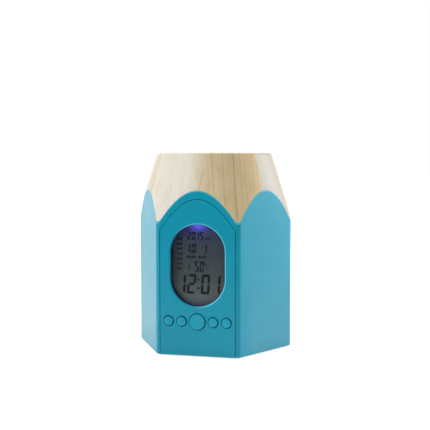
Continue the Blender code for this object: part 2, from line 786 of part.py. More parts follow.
def make_front_panel(stock):
    """Arched panel with the window, the button holes, bosses for the board and hooks at its sides."""
    rim = front_plate("front_panel", arch_outline(0, SHELL_BOTTOM), 0, PANEL_BORDER)
    bevel(rim, PANEL_EDGE, 1, SIXTH)
    plug = front_plate(
        "panel_plug",
        arch_outline(-PANEL_LEDGE - GAP, SHELL_BOTTOM + OPENING_BOTTOM + GAP),
        PANEL_BORDER / 2,
        PANEL_THICKNESS,
    )
    boolean(rim, as_cutter(stock, plug), "UNION")

    bosses = []
    pilots = []
    for i, (x, z) in enumerate(board_screw_places()):
        boss = turned_rod(
            f"boss_{i}", BOARD_BOSS_RADIUS, -BOARD_FRONT + GAP, -PANEL_BORDER, ROUND_STEPS
        )
        bosses.append(facing_front(boss, x, z))
        pilot = turned_rod(
            f"pilot_{i}",
            BOARD_SCREW_RADIUS + GAP,
            -BOARD_FRONT - OVERRUN,
            -BOARD_BACK + BOARD_SCREW_LENGTH + GAP,
            SMALL_STEPS,
        )
        pilots.append(facing_front(pilot, x, z))
    boolean(rim, as_cutter(stock, joined("bosses", bosses)), "UNION", solver="MANIFOLD")
    boolean(rim, as_cutter(stock, joined("hooks", panel_hooks())), "UNION", solver="MANIFOLD")
    boolean(rim, as_cutter(stock, joined("pilots", pilots)), solver="MANIFOLD")

    window = loft(
        "window_cutter",
        [
            at_depth(stadium(2 * WINDOW_EDGE), -WINDOW_EDGE),
            at_depth(stadium(0), WINDOW_EDGE),
            at_depth(stadium(0), PANEL_THICKNESS + OVERRUN),
        ],
    )
    boolean(rim, as_cutter(stock, window), solver="MANIFOLD")
    holes = []
    for name, x, radius in button_places():
        hole_radius = radius + BUTTON_SIDE_GAP
        edge = BUTTON_HOLE_EDGE
        profile = [(0, edge), (hole_radius + 2 * edge, edge), (hole_radius, -edge)]
        profile += [(hole_radius, -PANEL_THICKNESS - OVERRUN), (0, -PANEL_THICKNESS - OVERRUN)]
        hole = turned(f"hole_{name}", profile, ROUND_STEPS)
        holes.append(facing_front(hole, x, BUTTON_Z))
    boolean(rim, as_cutter(stock, joined("button_holes", holes)), solver="MANIFOLD")
    return finished(stock, rim, stock.blue)


def panel_hooks():
    """Four hooks that grip the casing from behind, two on each side."""
    outer = PANEL_HALF - PANEL_LEDGE - GAP
    inner = outer - HOOK_THICKNESS
    root = -APOTHEM + PANEL_BORDER
    catch = -APOTHEM + SHELL_WALL + GAP
    tip = catch + HOOK_LENGTH
    profile = [
        (inner, root),
        (outer, root),
        (outer, catch),
        (outer + HOOK_BARB, catch),
        (outer, tip),
        (inner, tip),
    ]
    hooks = []
    for i, z in enumerate((WINDOW_BOTTOM + HOOK_LOW_RISE, WINDOW_TOP - HOOK_HIGH_DROP)):
        for side in (-1, 1):
            points = [(side * x, y) for x, y in profile]
            hooks.append(floor_plate(f"hook_{i}_{side}", points, z, z + HOOK_WIDTH))
    return hooks


def make_display(stock):
    """Window lens, dark bezel, display glass, light guide, its lamp and the zebra strip."""
    lens = front_plate(
        "window_lens", stadium(LENS_MARGIN), LENS_FRONT, LENS_FRONT + LENS_THICKNESS
    )
    finished(stock, lens, stock.clear)

    frame = rectangle(BEZEL_HALF, BEZEL_BOTTOM, BEZEL_TOP)
    bezel = front_plate("display_bezel", frame, BEZEL_FRONT, GUIDE_BACK)
    lens_seat = front_plate(
        "lens_seat", stadium(LENS_MARGIN + GAP), BEZEL_FRONT - OVERRUN, WEB_FRONT
    )
    boolean(bezel, as_cutter(stock, lens_seat))
    sight = front_plate("sight", stadium(0), LENS_FRONT, GUIDE_FRONT)
    boolean(bezel, as_cutter(stock, sight))
    pocket = rectangle(LCD_HALF + GAP, LCD_BOTTOM - GAP, LCD_TOP + GAP)
    boolean(bezel, as_cutter(stock, front_plate("pocket", pocket, WEB_BACK, GUIDE_BACK + OVERRUN)))
    finished(stock, bezel, stock.dark)

    glass = rectangle(LCD_HALF, LCD_BOTTOM, LCD_TOP)
    lcd = front_plate("lcd_panel", glass, LCD_FRONT, LCD_BACK)
    finished(stock, lcd, stock.glass)

    zebra = box(
        "zebra_strip",
        (-LCD_HALF + ZEBRA_END, -APOTHEM + GUIDE_FRONT, LCD_BOTTOM),
        (LCD_HALF - ZEBRA_END, -APOTHEM + GUIDE_BACK, LCD_BOTTOM + ZEBRA_HEIGHT),
    )
    finished(stock, zebra, stock.rubber)

    led_low = LCD_TOP - LED_HEIGHT
    notch = LED_HALF_WIDTH + GAP
    guide_low = LCD_BOTTOM + ZEBRA_HEIGHT + GAP
    points = [
        (-LCD_HALF, guide_low),
        (LCD_HALF, guide_low),
        (LCD_HALF, LCD_TOP),
        (notch, LCD_TOP),
        (notch, led_low - GAP),
        (-notch, led_low - GAP),
        (-notch, LCD_TOP),
        (-LCD_HALF, LCD_TOP),
    ]
    guide = front_plate("light_guide", points, GUIDE_FRONT, GUIDE_BACK)
    finished(stock, guide, stock.milky)

    led = box(
        "backlight_led",
        (-LED_HALF_WIDTH, -APOTHEM + GUIDE_BACK - LED_THICKNESS, led_low),
        (LED_HALF_WIDTH, -APOTHEM + GUIDE_BACK, LCD_TOP),
    )
    bevel(led, LED_EDGE, 1)
    finished(stock, led, stock.milky)


def make_main_board(stock):
    """Circuit board with four screw holes, narrowed at the top to pass the arch."""
    points = [
        (-BOARD_HALF, BOARD_BOTTOM),
        (BOARD_HALF, BOARD_BOTTOM),
        (BOARD_HALF, BOARD_SHOULDER),
        (BOARD_TOP_HALF, BOARD_TOP),
        (-BOARD_TOP_HALF, BOARD_TOP),
        (-BOARD_HALF, BOARD_SHOULDER),
    ]
    board = front_plate("main_board", points, BOARD_FRONT, BOARD_BACK)
    holes = []
    for i, (x, z) in enumerate(board_screw_places()):
        hole = turned_rod(
            f"board_hole_{i}",
            BOARD_SCREW_RADIUS + GAP,
            -BOARD_BACK - OVERRUN,
            -BOARD_FRONT + OVERRUN,
            SMALL_STEPS,
        )
        holes.append(facing_front(hole, x, z))
    boolean(board, as_cutter(stock, joined("board_holes", holes)))
    finished(stock, board, stock.board)


def screw(name, head_radius, head_height, shank_radius, length, steps):
    """A pan-head screw with its head's flat underside at its origin and its tip along +Z."""
    soft = head_height / 3
    tip = shank_radius
    profile = [
        (0, length),
        (shank_radius / 2, length),
        (shank_radius, length - tip),
        (shank_radius, 0),
        (head_radius, 0),
        (head_radius, -head_height + soft),
        (head_radius - soft, -head_height),
        (0, -head_height),
    ]
    return turned(name, profile, steps)


def make_board_screws(stock):
    for i, (x, z) in enumerate(board_screw_places()):
        made = screw(
            f"board_screw_{i + 1}",
            BOARD_SCREW_HEAD_RADIUS,
            BOARD_SCREW_HEAD_HEIGHT,
            BOARD_SCREW_RADIUS,
            BOARD_SCREW_LENGTH,
            SMALL_STEPS,
        )
        facing_front(made, x, z)
        made.location.y += BOARD_BACK + GAP
        finished(stock, made, stock.steel)


def make_board_parts(stock):
    """What is soldered to the back of the board."""
    back = -APOTHEM + BOARD_BACK + GAP
    middle = (WINDOW_BOTTOM + WINDOW_TOP) / 2
    blob = [(0, CHIP_HEIGHT)]
    for i in range(1, DOME_STEPS + 1):
        turn = QUARTER_TURN * i / DOME_STEPS
        blob.append((CHIP_RADIUS * math.sin(turn), CHIP_HEIGHT * math.cos(turn)))
    blob.append((0, 0))
    chip = turned("clock_chip", blob, ROUND_STEPS)
    chip.location = (0, back, middle - CHIP_RISE / 2)
    chip.rotation_euler = BACKWARD
    finished(stock, chip, stock.dark)

    crystal = turned_rod(
        "quartz_crystal", CRYSTAL_RADIUS, 0, CRYSTAL_LENGTH, SMALL_STEPS, CRYSTAL_RADIUS / 3
    )
    crystal.location = (CRYSTAL_X, back + CRYSTAL_RADIUS, middle)
    finished(stock, crystal, stock.steel)

    buzzer = turned_rod(
        "buzzer", BUZZER_RADIUS, 0, BUZZER_HEIGHT, ROUND_STEPS, BUZZER_HOLE_RADIUS / 2
    )
    buzzer.location = (BUZZER_X, back, WINDOW_BOTTOM - BUZZER_DROP)
    buzzer.rotation_euler = BACKWARD
    vent = turned_rod(
        "buzzer_vent", BUZZER_HOLE_RADIUS, BUZZER_HEIGHT / 2, BUZZER_HEIGHT + OVERRUN, SMALL_STEPS
    )
    vent.location = buzzer.location
    vent.rotation_euler = BACKWARD
    boolean(buzzer, as_cutter(stock, vent))
    finished(stock, buzzer, stock.dark)

    bead = turned_rod(
        "thermistor", THERMISTOR_RADIUS, 0, 2 * THERMISTOR_RADIUS, SMALL_STEPS, THERMISTOR_RADIUS / 2
    )
    bead.location = (THERMISTOR_X, back, WINDOW_BOTTOM - THERMISTOR_RISE)
    bead.rotation_euler = BACKWARD
    finished(stock, bead, stock.milky)


def make_buttons(stock):
    """Five domed buttons, each with its retaining flange, stem, switch and plunger."""
    for name, x, radius in button_places():
        top = BUTTON_RISE
        edge = BUTTON_SHOULDER
        profile = [(0, top)]
        for i in range(1, DOME_STEPS + 1):
            turn = QUARTER_TURN * i / DOME_STEPS
            profile.append((radius * math.sin(turn), edge + (top - edge) * math.cos(turn)))
        flange = radius + BUTTON_FLANGE
        front = -PANEL_THICKNESS - GAP
        back = front - BUTTON_FLANGE_THICKNESS
        profile += [(radius, front), (flange, front), (flange, back)]
        profile += [(BUTTON_STEM_RADIUS, back), (BUTTON_STEM_RADIUS, -STEM_BACK), (0, -STEM_BACK)]
        button = turned(f"button_{name}", profile, ROUND_STEPS)
        finished(stock, facing_front(button, x, BUTTON_Z), stock.blue)

        half = SWITCH_SIDE / 2
        switch = box(
            f"switch_{name}",
            (x - half, -APOTHEM + SWITCH_FRONT, BUTTON_Z - half),
            (x + half, -APOTHEM + SWITCH_FRONT + SWITCH_HEIGHT, BUTTON_Z + half),
        )
        bore = turned_rod(
            f"switch_bore_{name}",
            PLUNGER_RADIUS + GAP,
            -SWITCH_FRONT - SWITCH_BORE_DEPTH,
            -SWITCH_FRONT + OVERRUN,
            SMALL_STEPS,
        )
        boolean(switch, as_cutter(stock, facing_front(bore, x, BUTTON_Z)))
        finished(stock, switch, stock.dark)

        plunger = turned_rod(
            f"plunger_{name}", PLUNGER_RADIUS, -PLUNGER_BACK, -PLUNGER_FRONT, SMALL_STEPS
        )
        finished(stock, facing_front(plunger, x, BUTTON_Z), stock.dark)


def make_base_plate(stock):
    """Bottom plate with the battery tray, the door's opening and seats for the feet and screws."""
    base = hexagon("base_plate", BASE_APOTHEM, BASE_BOTTOM, BASE_TOP, capped=True)
    tray = box(
        "tray_block",
        (-TRAY_HALF_LENGTH, -TRAY_HALF_WIDTH, BASE_BOTTOM + BASE_THICKNESS / 2),
        (TRAY_HALF_LENGTH, TRAY_HALF_WIDTH, TRAY_TOP),
    )
    boolean(base, as_cutter(stock, tray), "UNION")
    cavity = box(
        "tray_cavity",
        (-CAVITY_HALF_LENGTH, -CAVITY_HALF_WIDTH, BASE_BOTTOM - OVERRUN),
        (CAVITY_HALF_LENGTH, CAVITY_HALF_WIDTH, CAVITY_TOP),
    )
    boolean(base, as_cutter(stock, cavity))
    doorway_length = DOOR_HALF_LENGTH + GAP
    doorway_width = DOOR_HALF_WIDTH + GAP
    doorway = box(
        "doorway",
        (-doorway_length, -doorway_width, BASE_BOTTOM - OVERRUN),
        (doorway_length, doorway_width, DOOR_TOP + GAP),
    )
    boolean(base, as_cutter(stock, doorway))

    seats = []
    for i, (x, y) in enumerate(foot_places()):
        seat = turned_rod(
            f"foot_seat_{i}",
            FOOT_RADIUS + GAP,
            BASE_BOTTOM - OVERRUN,
            BASE_BOTTOM + FOOT_RECESS,
            ROUND_STEPS,
        )
        seat.location = (x, y, 0)
        seats.append(seat)
    for i, (x, y) in enumerate(post_places()):
        head_top = BASE_BOTTOM + BASE_SCREW_HEAD_HEIGHT + GAP
        profile = [
            (0, BASE_TOP + OVERRUN),
            (BASE_SCREW_RADIUS + GAP, BASE_TOP + OVERRUN),
            (BASE_SCREW_RADIUS + GAP, head_top),
            (BASE_SCREW_HEAD_RADIUS + GAP, head_top),
            (BASE_SCREW_HEAD_RADIUS + GAP, BASE_BOTTOM - OVERRUN),
            (0, BASE_BOTTOM - OVERRUN),
        ]
        seat = turned(f"screw_seat_{i}", profile, ROUND_STEPS)
        seat.location = (x, y, 0)
        seats.append(seat)
    pins = hinge_pin("pin_holes", HINGE_PIN_RADIUS + GAP, HINGE_PIN_LENGTH + GAP, OVERRUN)
    boolean(base, as_cutter(stock, joined("seats", seats)))
    boolean(base, as_cutter(stock, pins))

    notch = box(
        "latch_notch",
        (-LATCH_WIDTH / 2 - GAP, -doorway_width - LATCH_REACH, BASE_BOTTOM - OVERRUN),
        (LATCH_WIDTH / 2 + GAP, 0, HINGE_Z + LATCH_THICKNESS / 2 + GAP),
    )
    boolean(base, as_cutter(stock, notch))
    thumb = turned_rod(
        "thumb_recess", THUMB_RADIUS, BASE_BOTTOM - OVERRUN, BASE_BOTTOM + THUMB_DEPTH, ROUND_STEPS
    )
    thumb.location = (0, -doorway_width - LATCH_REACH, 0)
    boolean(base, as_cutter(stock, thumb))
    return finished(stock, base, stock.dark)


def hinge_pin(name, radius, reach, inside):
    """A pin at each end of the door's rear edge, as one or two rods along X."""
    rods = []
    for side in (-1, 1):
        rod = turned_rod(f"{name}_{side}", radius, -inside, reach, SMALL_STEPS)
        rod.location = (side * DOOR_HALF_LENGTH, HINGE_Y, HINGE_Z)
        rod.rotation_euler = (0, side * QUARTER_TURN, 0)
        rods.append(rod)
    return joined(name, rods)


def make_battery_door(stock):
    """Door with a round rear edge, two pins, a latch tongue and ribs between the cells."""
    half = DOOR_THICKNESS / 2
    lower = [(-DOOR_HALF_WIDTH, -half), (DOOR_HALF_WIDTH - half, -half)]
    round_edge = arc(DOOR_HALF_WIDTH - half, 0, half, -QUARTER_TURN, QUARTER_TURN, DOME_STEPS * 2)
    points = lower + round_edge[1:]
    points.append((-DOOR_HALF_WIDTH, half))
    curve = outline_curve("battery_door", points, 2 * DOOR_HALF_LENGTH)
    curve.location = (0, 0, HINGE_Z)
    curve.rotation_euler = (QUARTER_TURN, 0, QUARTER_TURN)
    door = solid_of_curve(curve)
    pins = hinge_pin("door_pins", HINGE_PIN_RADIUS, HINGE_PIN_LENGTH, OVERRUN)
    boolean(door, as_cutter(stock, pins), "UNION")
    tongue = box(
        "door_tongue",
        (-LATCH_WIDTH / 2, -DOOR_HALF_WIDTH - LATCH_REACH, HINGE_Z - LATCH_THICKNESS / 2),
        (LATCH_WIDTH / 2, -DOOR_HALF_WIDTH + OVERRUN, HINGE_Z + LATCH_THICKNESS / 2),
    )
    boolean(door, as_cutter(stock, tongue), "UNION")
    ribs = []
    for i in range(CELL_COUNT - 1):
        y = CELL_PITCH * (i + 1 - CELL_COUNT / 2)
        rib = box(
            f"door_rib_{i}",
            (-CELL_LENGTH / 3, y - DOOR_RIB_WIDTH / 2, HINGE_Z),
            (CELL_LENGTH / 3, y + DOOR_RIB_WIDTH / 2, DOOR_TOP + DOOR_RIB_HEIGHT),
        )
        ribs.append(rib)
    boolean(door, as_cutter(stock, joined("door_ribs", ribs)), "UNION")
    return finished(stock, door, stock.dark)


def spring_points(length, radius):
    """A coil along +Z from its own origin, with a point at even steps."""
    count = SPRING_TURNS * SPRING_STEPS
    rise = length - 2 * SPRING_WIRE
    points = []
    for i in range(count + 1):
        turn = 2 * HALF_TURN * i / SPRING_STEPS
        z = SPRING_WIRE + rise * i / count
        points.append(Vector((radius * math.cos(turn), radius * math.sin(turn), z)))
    return points


def print_least_gap(points):
    """Print how close the spring's wire comes to itself, past its neighbouring turn."""
    least = min(
        (a - b).length
        for i, a in enumerate(points)
        for b in points[i + SPRING_STEPS // 2 :]
    )
    print(f"battery spring: least gap to itself {(least - 2 * SPRING_WIRE) * 1000:.2f} mm")


def tube(name, points, radius, sides):
    """A wire along the given points."""
    curve = bpy.data.curves.new(name, "CURVE")
    curve.dimensions = "3D"
    curve.bevel_depth = radius
    curve.bevel_resolution = sides
    curve.use_fill_caps = True
    line = curve.splines.new("POLY")
    line.points.add(len(points) - 1)
    for point, place in zip(line.points, points):
        point.co = (*place, 1)
    return bpy.data.objects.new(name, curve)


def make_cells(stock):
    """Three cells in turn about, each with a coil spring at its minus end and a plate at its plus end."""
    coil = spring_points(SPRING_LENGTH, SPRING_RADIUS)
    print_least_gap(coil)
    for i, (y, side) in enumerate(cell_places()):
        plus = CAVITY_HALF_LENGTH - CONTACT_THICKNESS - 2 * GAP
        minus = plus - CELL_LENGTH
        body = plus - CELL_NUB_LENGTH
        profile = [
            (0, plus),
            (CELL_NUB_RADIUS, plus),
            (CELL_NUB_RADIUS, body),
            (CELL_RADIUS - CELL_EDGE, body),
            (CELL_RADIUS, body - CELL_EDGE),
            (CELL_RADIUS, minus + CELL_EDGE),
            (CELL_RADIUS - CELL_EDGE, minus),
            (0, minus),
        ]
        cell = turned(f"battery_cell_{i + 1}", profile, ROUND_STEPS)
        cell.location = (0, y, CELL_AXIS)
        cell.rotation_euler = (0, side * QUARTER_TURN, 0)
        finished(stock, cell, stock.cell)

        plate = box(
            f"contact_plate_{i + 1}",
            (0, -CONTACT_SIDE / 2, -CONTACT_SIDE / 2),
            (CONTACT_THICKNESS, CONTACT_SIDE / 2, CONTACT_SIDE / 2),
        )
        plate.location = (side * (CAVITY_HALF_LENGTH - GAP), y, CELL_AXIS)
        plate.rotation_euler = (0, 0, HALF_TURN if side > 0 else 0)
        finished(stock, plate, stock.steel)

        spring = tube(f"battery_spring_{i + 1}", coil, SPRING_WIRE, SPRING_SIDES)
        spring.location = (-side * (CAVITY_HALF_LENGTH - GAP), y, CELL_AXIS)
        spring.rotation_euler = (0, side * QUARTER_TURN, 0)
        finished(stock, spring, stock.steel)


def make_screws_and_feet(stock):
    for i, (x, y) in enumerate(post_places()):
        made = screw(
            f"base_screw_{i + 1}",
            BASE_SCREW_HEAD_RADIUS,
            BASE_SCREW_HEAD_HEIGHT,
            BASE_SCREW_RADIUS,
            BASE_SCREW_LENGTH - BASE_SCREW_HEAD_HEIGHT,
            SMALL_STEPS,
        )
        made.location = (x, y, BASE_BOTTOM + BASE_SCREW_HEAD_HEIGHT)
        finished(stock, made, stock.steel)
    top = BASE_BOTTOM + FOOT_RECESS - GAP
    for i, (x, y) in enumerate(foot_places()):
        profile = [
            (0, top),
            (FOOT_RADIUS, top),
            (FOOT_RADIUS, FOOT_ROUND),
            (FOOT_RADIUS - FOOT_ROUND, 0),
            (0, 0),
        ]
        foot = turned(f"foot_{i + 1}", profile, ROUND_STEPS)
        foot.location = (x, y, 0)
        finished(stock, foot, stock.rubber)


def build():
    remove_all()
    stock = Stock()
    make_body_shell(stock)
    make_wood_collar(stock)
    make_pen_cup(stock)
    make_front_panel(stock)
    make_display(stock)
    make_main_board(stock)
    make_board_parts(stock)
    make_board_screws(stock)
    make_buttons(stock)
    make_base_plate(stock)
    make_battery_door(stock)
    make_cells(stock)
    make_screws_and_feet(stock)


build()
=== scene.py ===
"""Looks for the pen holder clock: fine surfaces, materials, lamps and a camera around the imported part.

Metres, +Z up, and the clock faces -Y, as in the part's own source.
"""

import math

import bmesh
import bpy
from mathutils import Matrix, Vector


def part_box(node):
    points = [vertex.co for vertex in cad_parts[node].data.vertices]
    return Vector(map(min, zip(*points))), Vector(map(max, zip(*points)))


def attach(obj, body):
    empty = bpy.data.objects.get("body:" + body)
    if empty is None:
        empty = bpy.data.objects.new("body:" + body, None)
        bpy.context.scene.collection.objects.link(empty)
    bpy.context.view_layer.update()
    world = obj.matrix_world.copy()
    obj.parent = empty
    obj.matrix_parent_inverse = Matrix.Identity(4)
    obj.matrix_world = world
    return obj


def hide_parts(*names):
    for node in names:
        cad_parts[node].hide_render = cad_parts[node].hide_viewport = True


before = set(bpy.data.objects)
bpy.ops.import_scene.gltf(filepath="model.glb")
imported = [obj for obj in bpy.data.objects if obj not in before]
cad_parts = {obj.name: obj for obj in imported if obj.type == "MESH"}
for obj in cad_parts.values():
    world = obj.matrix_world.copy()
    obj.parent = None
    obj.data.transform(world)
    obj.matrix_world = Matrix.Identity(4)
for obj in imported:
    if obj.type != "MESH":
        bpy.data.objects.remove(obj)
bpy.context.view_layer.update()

HALF_TURN = math.pi
QUARTER_TURN = HALF_TURN / 2
SIXTH = HALF_TURN / 3
HALF_SIXTH = SIXTH / 2
FRONT = -QUARTER_TURN

# Form of the whole, as in the part
HEX_SIDE = 0.0500
CORNER_RADIUS = 0.0028
EDGE_RADIUS = 0.0040
SHELL_WALL = 0.0024
SHELL_BOTTOM = 0.0008
RIM_TOP = 0.1217
RIM_SETBACK = 0.0071
CONE_SLOPE = 0.318
GAP = 0.0003
APOTHEM = HEX_SIDE * math.cos(HALF_SIXTH)
INNER_APOTHEM = APOTHEM - SHELL_WALL
RIM_RADIUS = APOTHEM - RIM_SETBACK
SCALLOP_PEAK = RIM_TOP - RIM_SETBACK / CONE_SLOPE

# How far a cutter passes the surface that it cuts, and the radius that counts as on the axis
PAST = 0.001
ON_AXIS = 1e-7

# Faces that meet at more than this keep a sharp edge between them
SHARP_ANGLE = math.radians(32)

# Edge roundings that the solids leave to the looks
CASING_EDGE = 0.0004
SCALLOP_EDGE_IN = 0.00025
SCALLOP_EDGE_DOWN = 0.0008
TUCK_HEIGHT = 0.0030
NOTCH_ROUND = 0.0007
GROOVE_EDGE = 0.0005
PANEL_EDGE = 0.00015
PANEL_GROW = 0.00012
WINDOW_EDGE = 0.0007
HOLE_EDGE = 0.0002
RIM_ROUND = 0.0010
SEAT_ROUND = 0.0003

# Front panel and window
PANEL_HALF = 0.0228
PANEL_PEAK_DROP = 0.0054
PANEL_PEAK = SCALLOP_PEAK - PANEL_PEAK_DROP
PANEL_SLOPE = 0.3065
PANEL_GROOVE = 0.00035
PANEL_BORDER = 0.0010
PANEL_THICKNESS = 0.0024
PANEL_LEDGE = 0.0015
OPENING_SILL = 0.0060
OPENING_BOTTOM = SHELL_BOTTOM + OPENING_SILL
WINDOW_HALF = 0.0166
WINDOW_BOTTOM = 0.03045
WINDOW_TOP_DROP = 0.0146
WINDOW_TOP = PANEL_PEAK - WINDOW_TOP_DROP
DISPLAY_DEPTH = 0.0049
LCD_PLANE = -APOTHEM + DISPLAY_DEPTH

# Dark navy sheet of painted shade on the window's wall, its navy standing for the lamp's violet light:
# thickness, edge, and its gaps to the chamfer, the wall and the window
WINDOW_SHADE_LINER = 0.0003
SHADE_LINER_EDGE = 0.0001
SHADE_LINER_BEHIND_LIP = 0.0002
SHADE_LINER_OFF_WALL = 0.00003
SHADE_LINER_OFF_LENS = 0.00005

# Clear window and the seat for it in the frame, both wider than the opening
LENS_GROW = 0.0006
LENS_EDGE = 0.00015
LENS_SEAT_GROW = 0.0009
LENS_SEAT_DEPTH = 0.0012

# Printed figures on the display
INK_GAP = 0.00002
INK_THICKNESS = 0.00006

# Push buttons: heights in front of the panel, then the sizes behind it
CAP_TOP = 0.0009
CAP_SHOULDER = 0.0008
CAP_ROUND = 0.00018
BUTTON_GAP = 0.00042
BUTTON_FLANGE = 0.00075
FLANGE_THICKNESS = 0.0008
STEM_RADIUS = 0.0015

# Raised marks on the caps
MARK_FOOT = 0.00066
MARK_THICKNESS = 0.0003
MARK_EDGE = 0.0001

# Shine of the casing's plastic, and how deep a moulded grain is
BLUE_GLOSS = 0.14
GRAIN_DEPTH = 0.00002

# Collar and cup
SEAM = 0.00002
COLLAR_WALL = 0.0024
SKIRT_WALL = 0.0018
SKIRT_LOW = 0.0720
SKIRT_TAPER = 0.0200
SKIRT_OVERLAP = 0.0004
CUP_FLANGE_RADIUS = RIM_RADIUS - COLLAR_WALL - GAP
CUP_FLANGE_WIDTH = 0.0013
CUP_TOP_RADIUS = CUP_FLANGE_RADIUS - CUP_FLANGE_WIDTH
CUP_FLANGE_THICKNESS = 0.0020
CUP_SHOULDER = RIM_TOP - CUP_FLANGE_THICKNESS
LEDGE_THICKNESS = 0.0022
LEDGE_TOP = CUP_SHOULDER - GAP
LEDGE_LOW = LEDGE_TOP - LEDGE_THICKNESS
CUP_FOOT_RADIUS = 0.02507
CUP_WALL = 0.0018
CUP_BOTTOM = 0.0176
CUP_FLOOR = 0.0020
CUP_CORNER = 0.0025
CUP_LIP_ROUND = 0.0005

# Feet and base screws
FOOT_TOP_EDGE = 0.0001
FOOT_ROUND = 0.0004
SHANK_RADIUS = 0.0011
HEAD_HEIGHT = 0.0012
HEAD_ROUND = 0.0005
RECESS_SIZE = (0.0028, 0.0006, 0.0014)
RECESS_TURN = 0.4


def smooth(obj):
    """Smooth shading with the large flat faces kept flat."""
    obj.data.shade_smooth()
    obj.data.set_sharp_from_angle(angle=SHARP_ANGLE)
    step = obj.modifiers.new("weighted_normals", "WEIGHTED_NORMAL")
    step.keep_sharp = True
    return obj


def linked(name, mesh):
    """An object of a mesh, put into the scene."""
    made = bpy.data.objects.new(name, mesh)
    bpy.context.scene.collection.objects.link(made)
    return made


def from_bmesh(name, shape):
    """An object of an edited shape, with its faces turned outwards."""
    mesh = bpy.data.meshes.new(name)
    bmesh.ops.recalc_face_normals(shape, faces=shape.faces)
    shape.to_mesh(mesh)
    shape.free()
    return linked(name, mesh)


def settle(obj):
    """Apply every modifier, so that the mesh is final."""
    bpy.context.view_layer.update()
    graph = bpy.context.evaluated_depsgraph_get()
    mesh = bpy.data.meshes.new_from_object(obj.evaluated_get(graph))
    mesh.transform(obj.matrix_world)
    obj.modifiers.clear()
    obj.data = mesh
    obj.matrix_world = Matrix.Identity(4)
    return obj


def cut(obj, cutters):
    """Cut shapes out of a piece and drop them."""
    for other in cutters:
        step = obj.modifiers.new(other.name, "BOOLEAN")
        step.operation = "DIFFERENCE"
        step.solver = "MANIFOLD"
        step.object = other
    settle(obj)
    for other in cutters:
        bpy.data.objects.remove(other, do_unlink=True)
    return obj


def grid_solid(name, rows, wrap):
    """A closed solid through rings of as many points each: joined end to end, or capped."""
    shape = bmesh.new()
    rings = [[shape.verts.new(point) for point in ring] for ring in rows]
    count = len(rings[0])
    pairs = list(zip(rings, rings[1:]))
    if wrap:
        pairs.append((rings[-1], rings[0]))
    for first, second in pairs:
        for i in range(count):
            j = (i + 1) % count
            shape.faces.new((first[i], first[j], second[j], second[i]))
    if not wrap:
        shape.faces.new(list(reversed(rings[0])))
        shape.faces.new(rings[-1])
    return from_bmesh(name, shape)


def turned(name, profile, steps, centre=(0, 0, 0), outwards=False):
    """A closed or axis-ended profile of (radius, height) turned about Z, or about the front's normal."""
    shape = bmesh.new()
    rings = []
    for radius, height in profile:
        if radius < ON_AXIS:
            rings.append([shape.verts.new((0, 0, height))])
            continue
        turns = [2 * HALF_TURN * i / steps for i in range(steps)]
        rings.append([shape.verts.new((radius * math.cos(t), radius * math.sin(t), height)) for t in turns])
    for first, second in zip(rings, rings[1:]):
        for i in range(steps):
            j = (i + 1) % steps
            near = (first[i % len(first)], first[j % len(first)])
            far = (second[j % len(second)], second[i % len(second)])
            shape.faces.new(list(dict.fromkeys(near + far)))
    place = Matrix.Translation(centre)
    if outwards:
        place = place @ Matrix.Rotation(QUARTER_TURN, 4, "X")
    bmesh.ops.transform(shape, matrix=place, verts=shape.verts)
    return from_bmesh(name, shape)


def rounded(radius, steps=4):
    """(inwards, downwards) of a convex edge rounding, from the top face to the side."""
    turns = [QUARTER_TURN * i / steps for i in range(steps + 1)]
    return [(radius - radius * math.sin(t), radius - radius * math.cos(t)) for t in turns]


def outline_radius(angle, apothem, corner):
    """Distance from the axis to the rounded hexagon in one direction."""
    off_face = (angle - FRONT + HALF_SIXTH) % SIXTH - HALF_SIXTH
    off_corner = HALF_SIXTH - abs(off_face)
    centre = (apothem - corner) / math.cos(HALF_SIXTH)
    touch = math.atan2(corner * math.sin(HALF_SIXTH), centre + corner * math.cos(HALF_SIXTH))
    if off_corner < touch:
        reach = corner**2 - (centre * math.sin(off_corner)) ** 2
        return centre * math.cos(off_corner) + math.sqrt(reach)
    return apothem / math.cos(off_face)


def crown_angles(flat_steps=56, corner_steps=12):
    """Directions round the hexagon: even steps along each flat and round each corner."""
    flat_end = math.atan2(HEX_SIDE / 2 - EDGE_RADIUS * math.tan(HALF_SIXTH), APOTHEM)
    angles = []
    for face in range(6):
        middle = FRONT + face * SIXTH
        for i in range(flat_steps):
            angles.append(middle + math.atan((2 * i / flat_steps - 1) * math.tan(flat_end)))
        for i in range(corner_steps):
            angles.append(middle + flat_end + 2 * (HALF_SIXTH - flat_end) * i / corner_steps)
    return angles


def scallop_height(angle):
    """Height at which the cone meets the outside of the casing, with the notches between arches rounded."""
    corner = (APOTHEM - EDGE_RADIUS) / math.cos(HALF_SIXTH) + EDGE_RADIUS
    notch = RIM_TOP - (corner - RIM_RADIUS) / CONE_SLOPE
    rise = (corner - outline_radius(angle, APOTHEM, EDGE_RADIUS)) / CONE_SLOPE
    return notch + math.hypot(rise, NOTCH_ROUND)


def round_the_hexagon(name, profile):
    """A solid whose section in each direction is a closed profile of (radius, height)."""
    rows = []
    for angle in crown_angles():
        across, along = math.cos(angle), math.sin(angle)
        rows.append([(r * across, r * along, z) for r, z in profile(angle)])
    return grid_solid(name, rows, wrap=True)


def arc(centre_x, centre_z, radius, start, end, steps):
    """Points along an arc seen from the front, between two angles."""
    turns = [start + (end - start) * i / steps for i in range(steps + 1)]
    return [(centre_x + radius * math.cos(t), centre_z + radius * math.sin(t)) for t in turns]


def arch_outline(grow, bottom, steps=72):
    """The panel's outline seen from the front, grown or shrunk."""
    half = PANEL_HALF + grow
    points = [(-half, bottom), (half, bottom)]
    for i in range(steps + 1):
        x = half * (1 - 2 * i / steps)
        fall = (math.hypot(APOTHEM, x) - APOTHEM) / PANEL_SLOPE
        points.append((x, PANEL_PEAK + grow - fall))
    return points


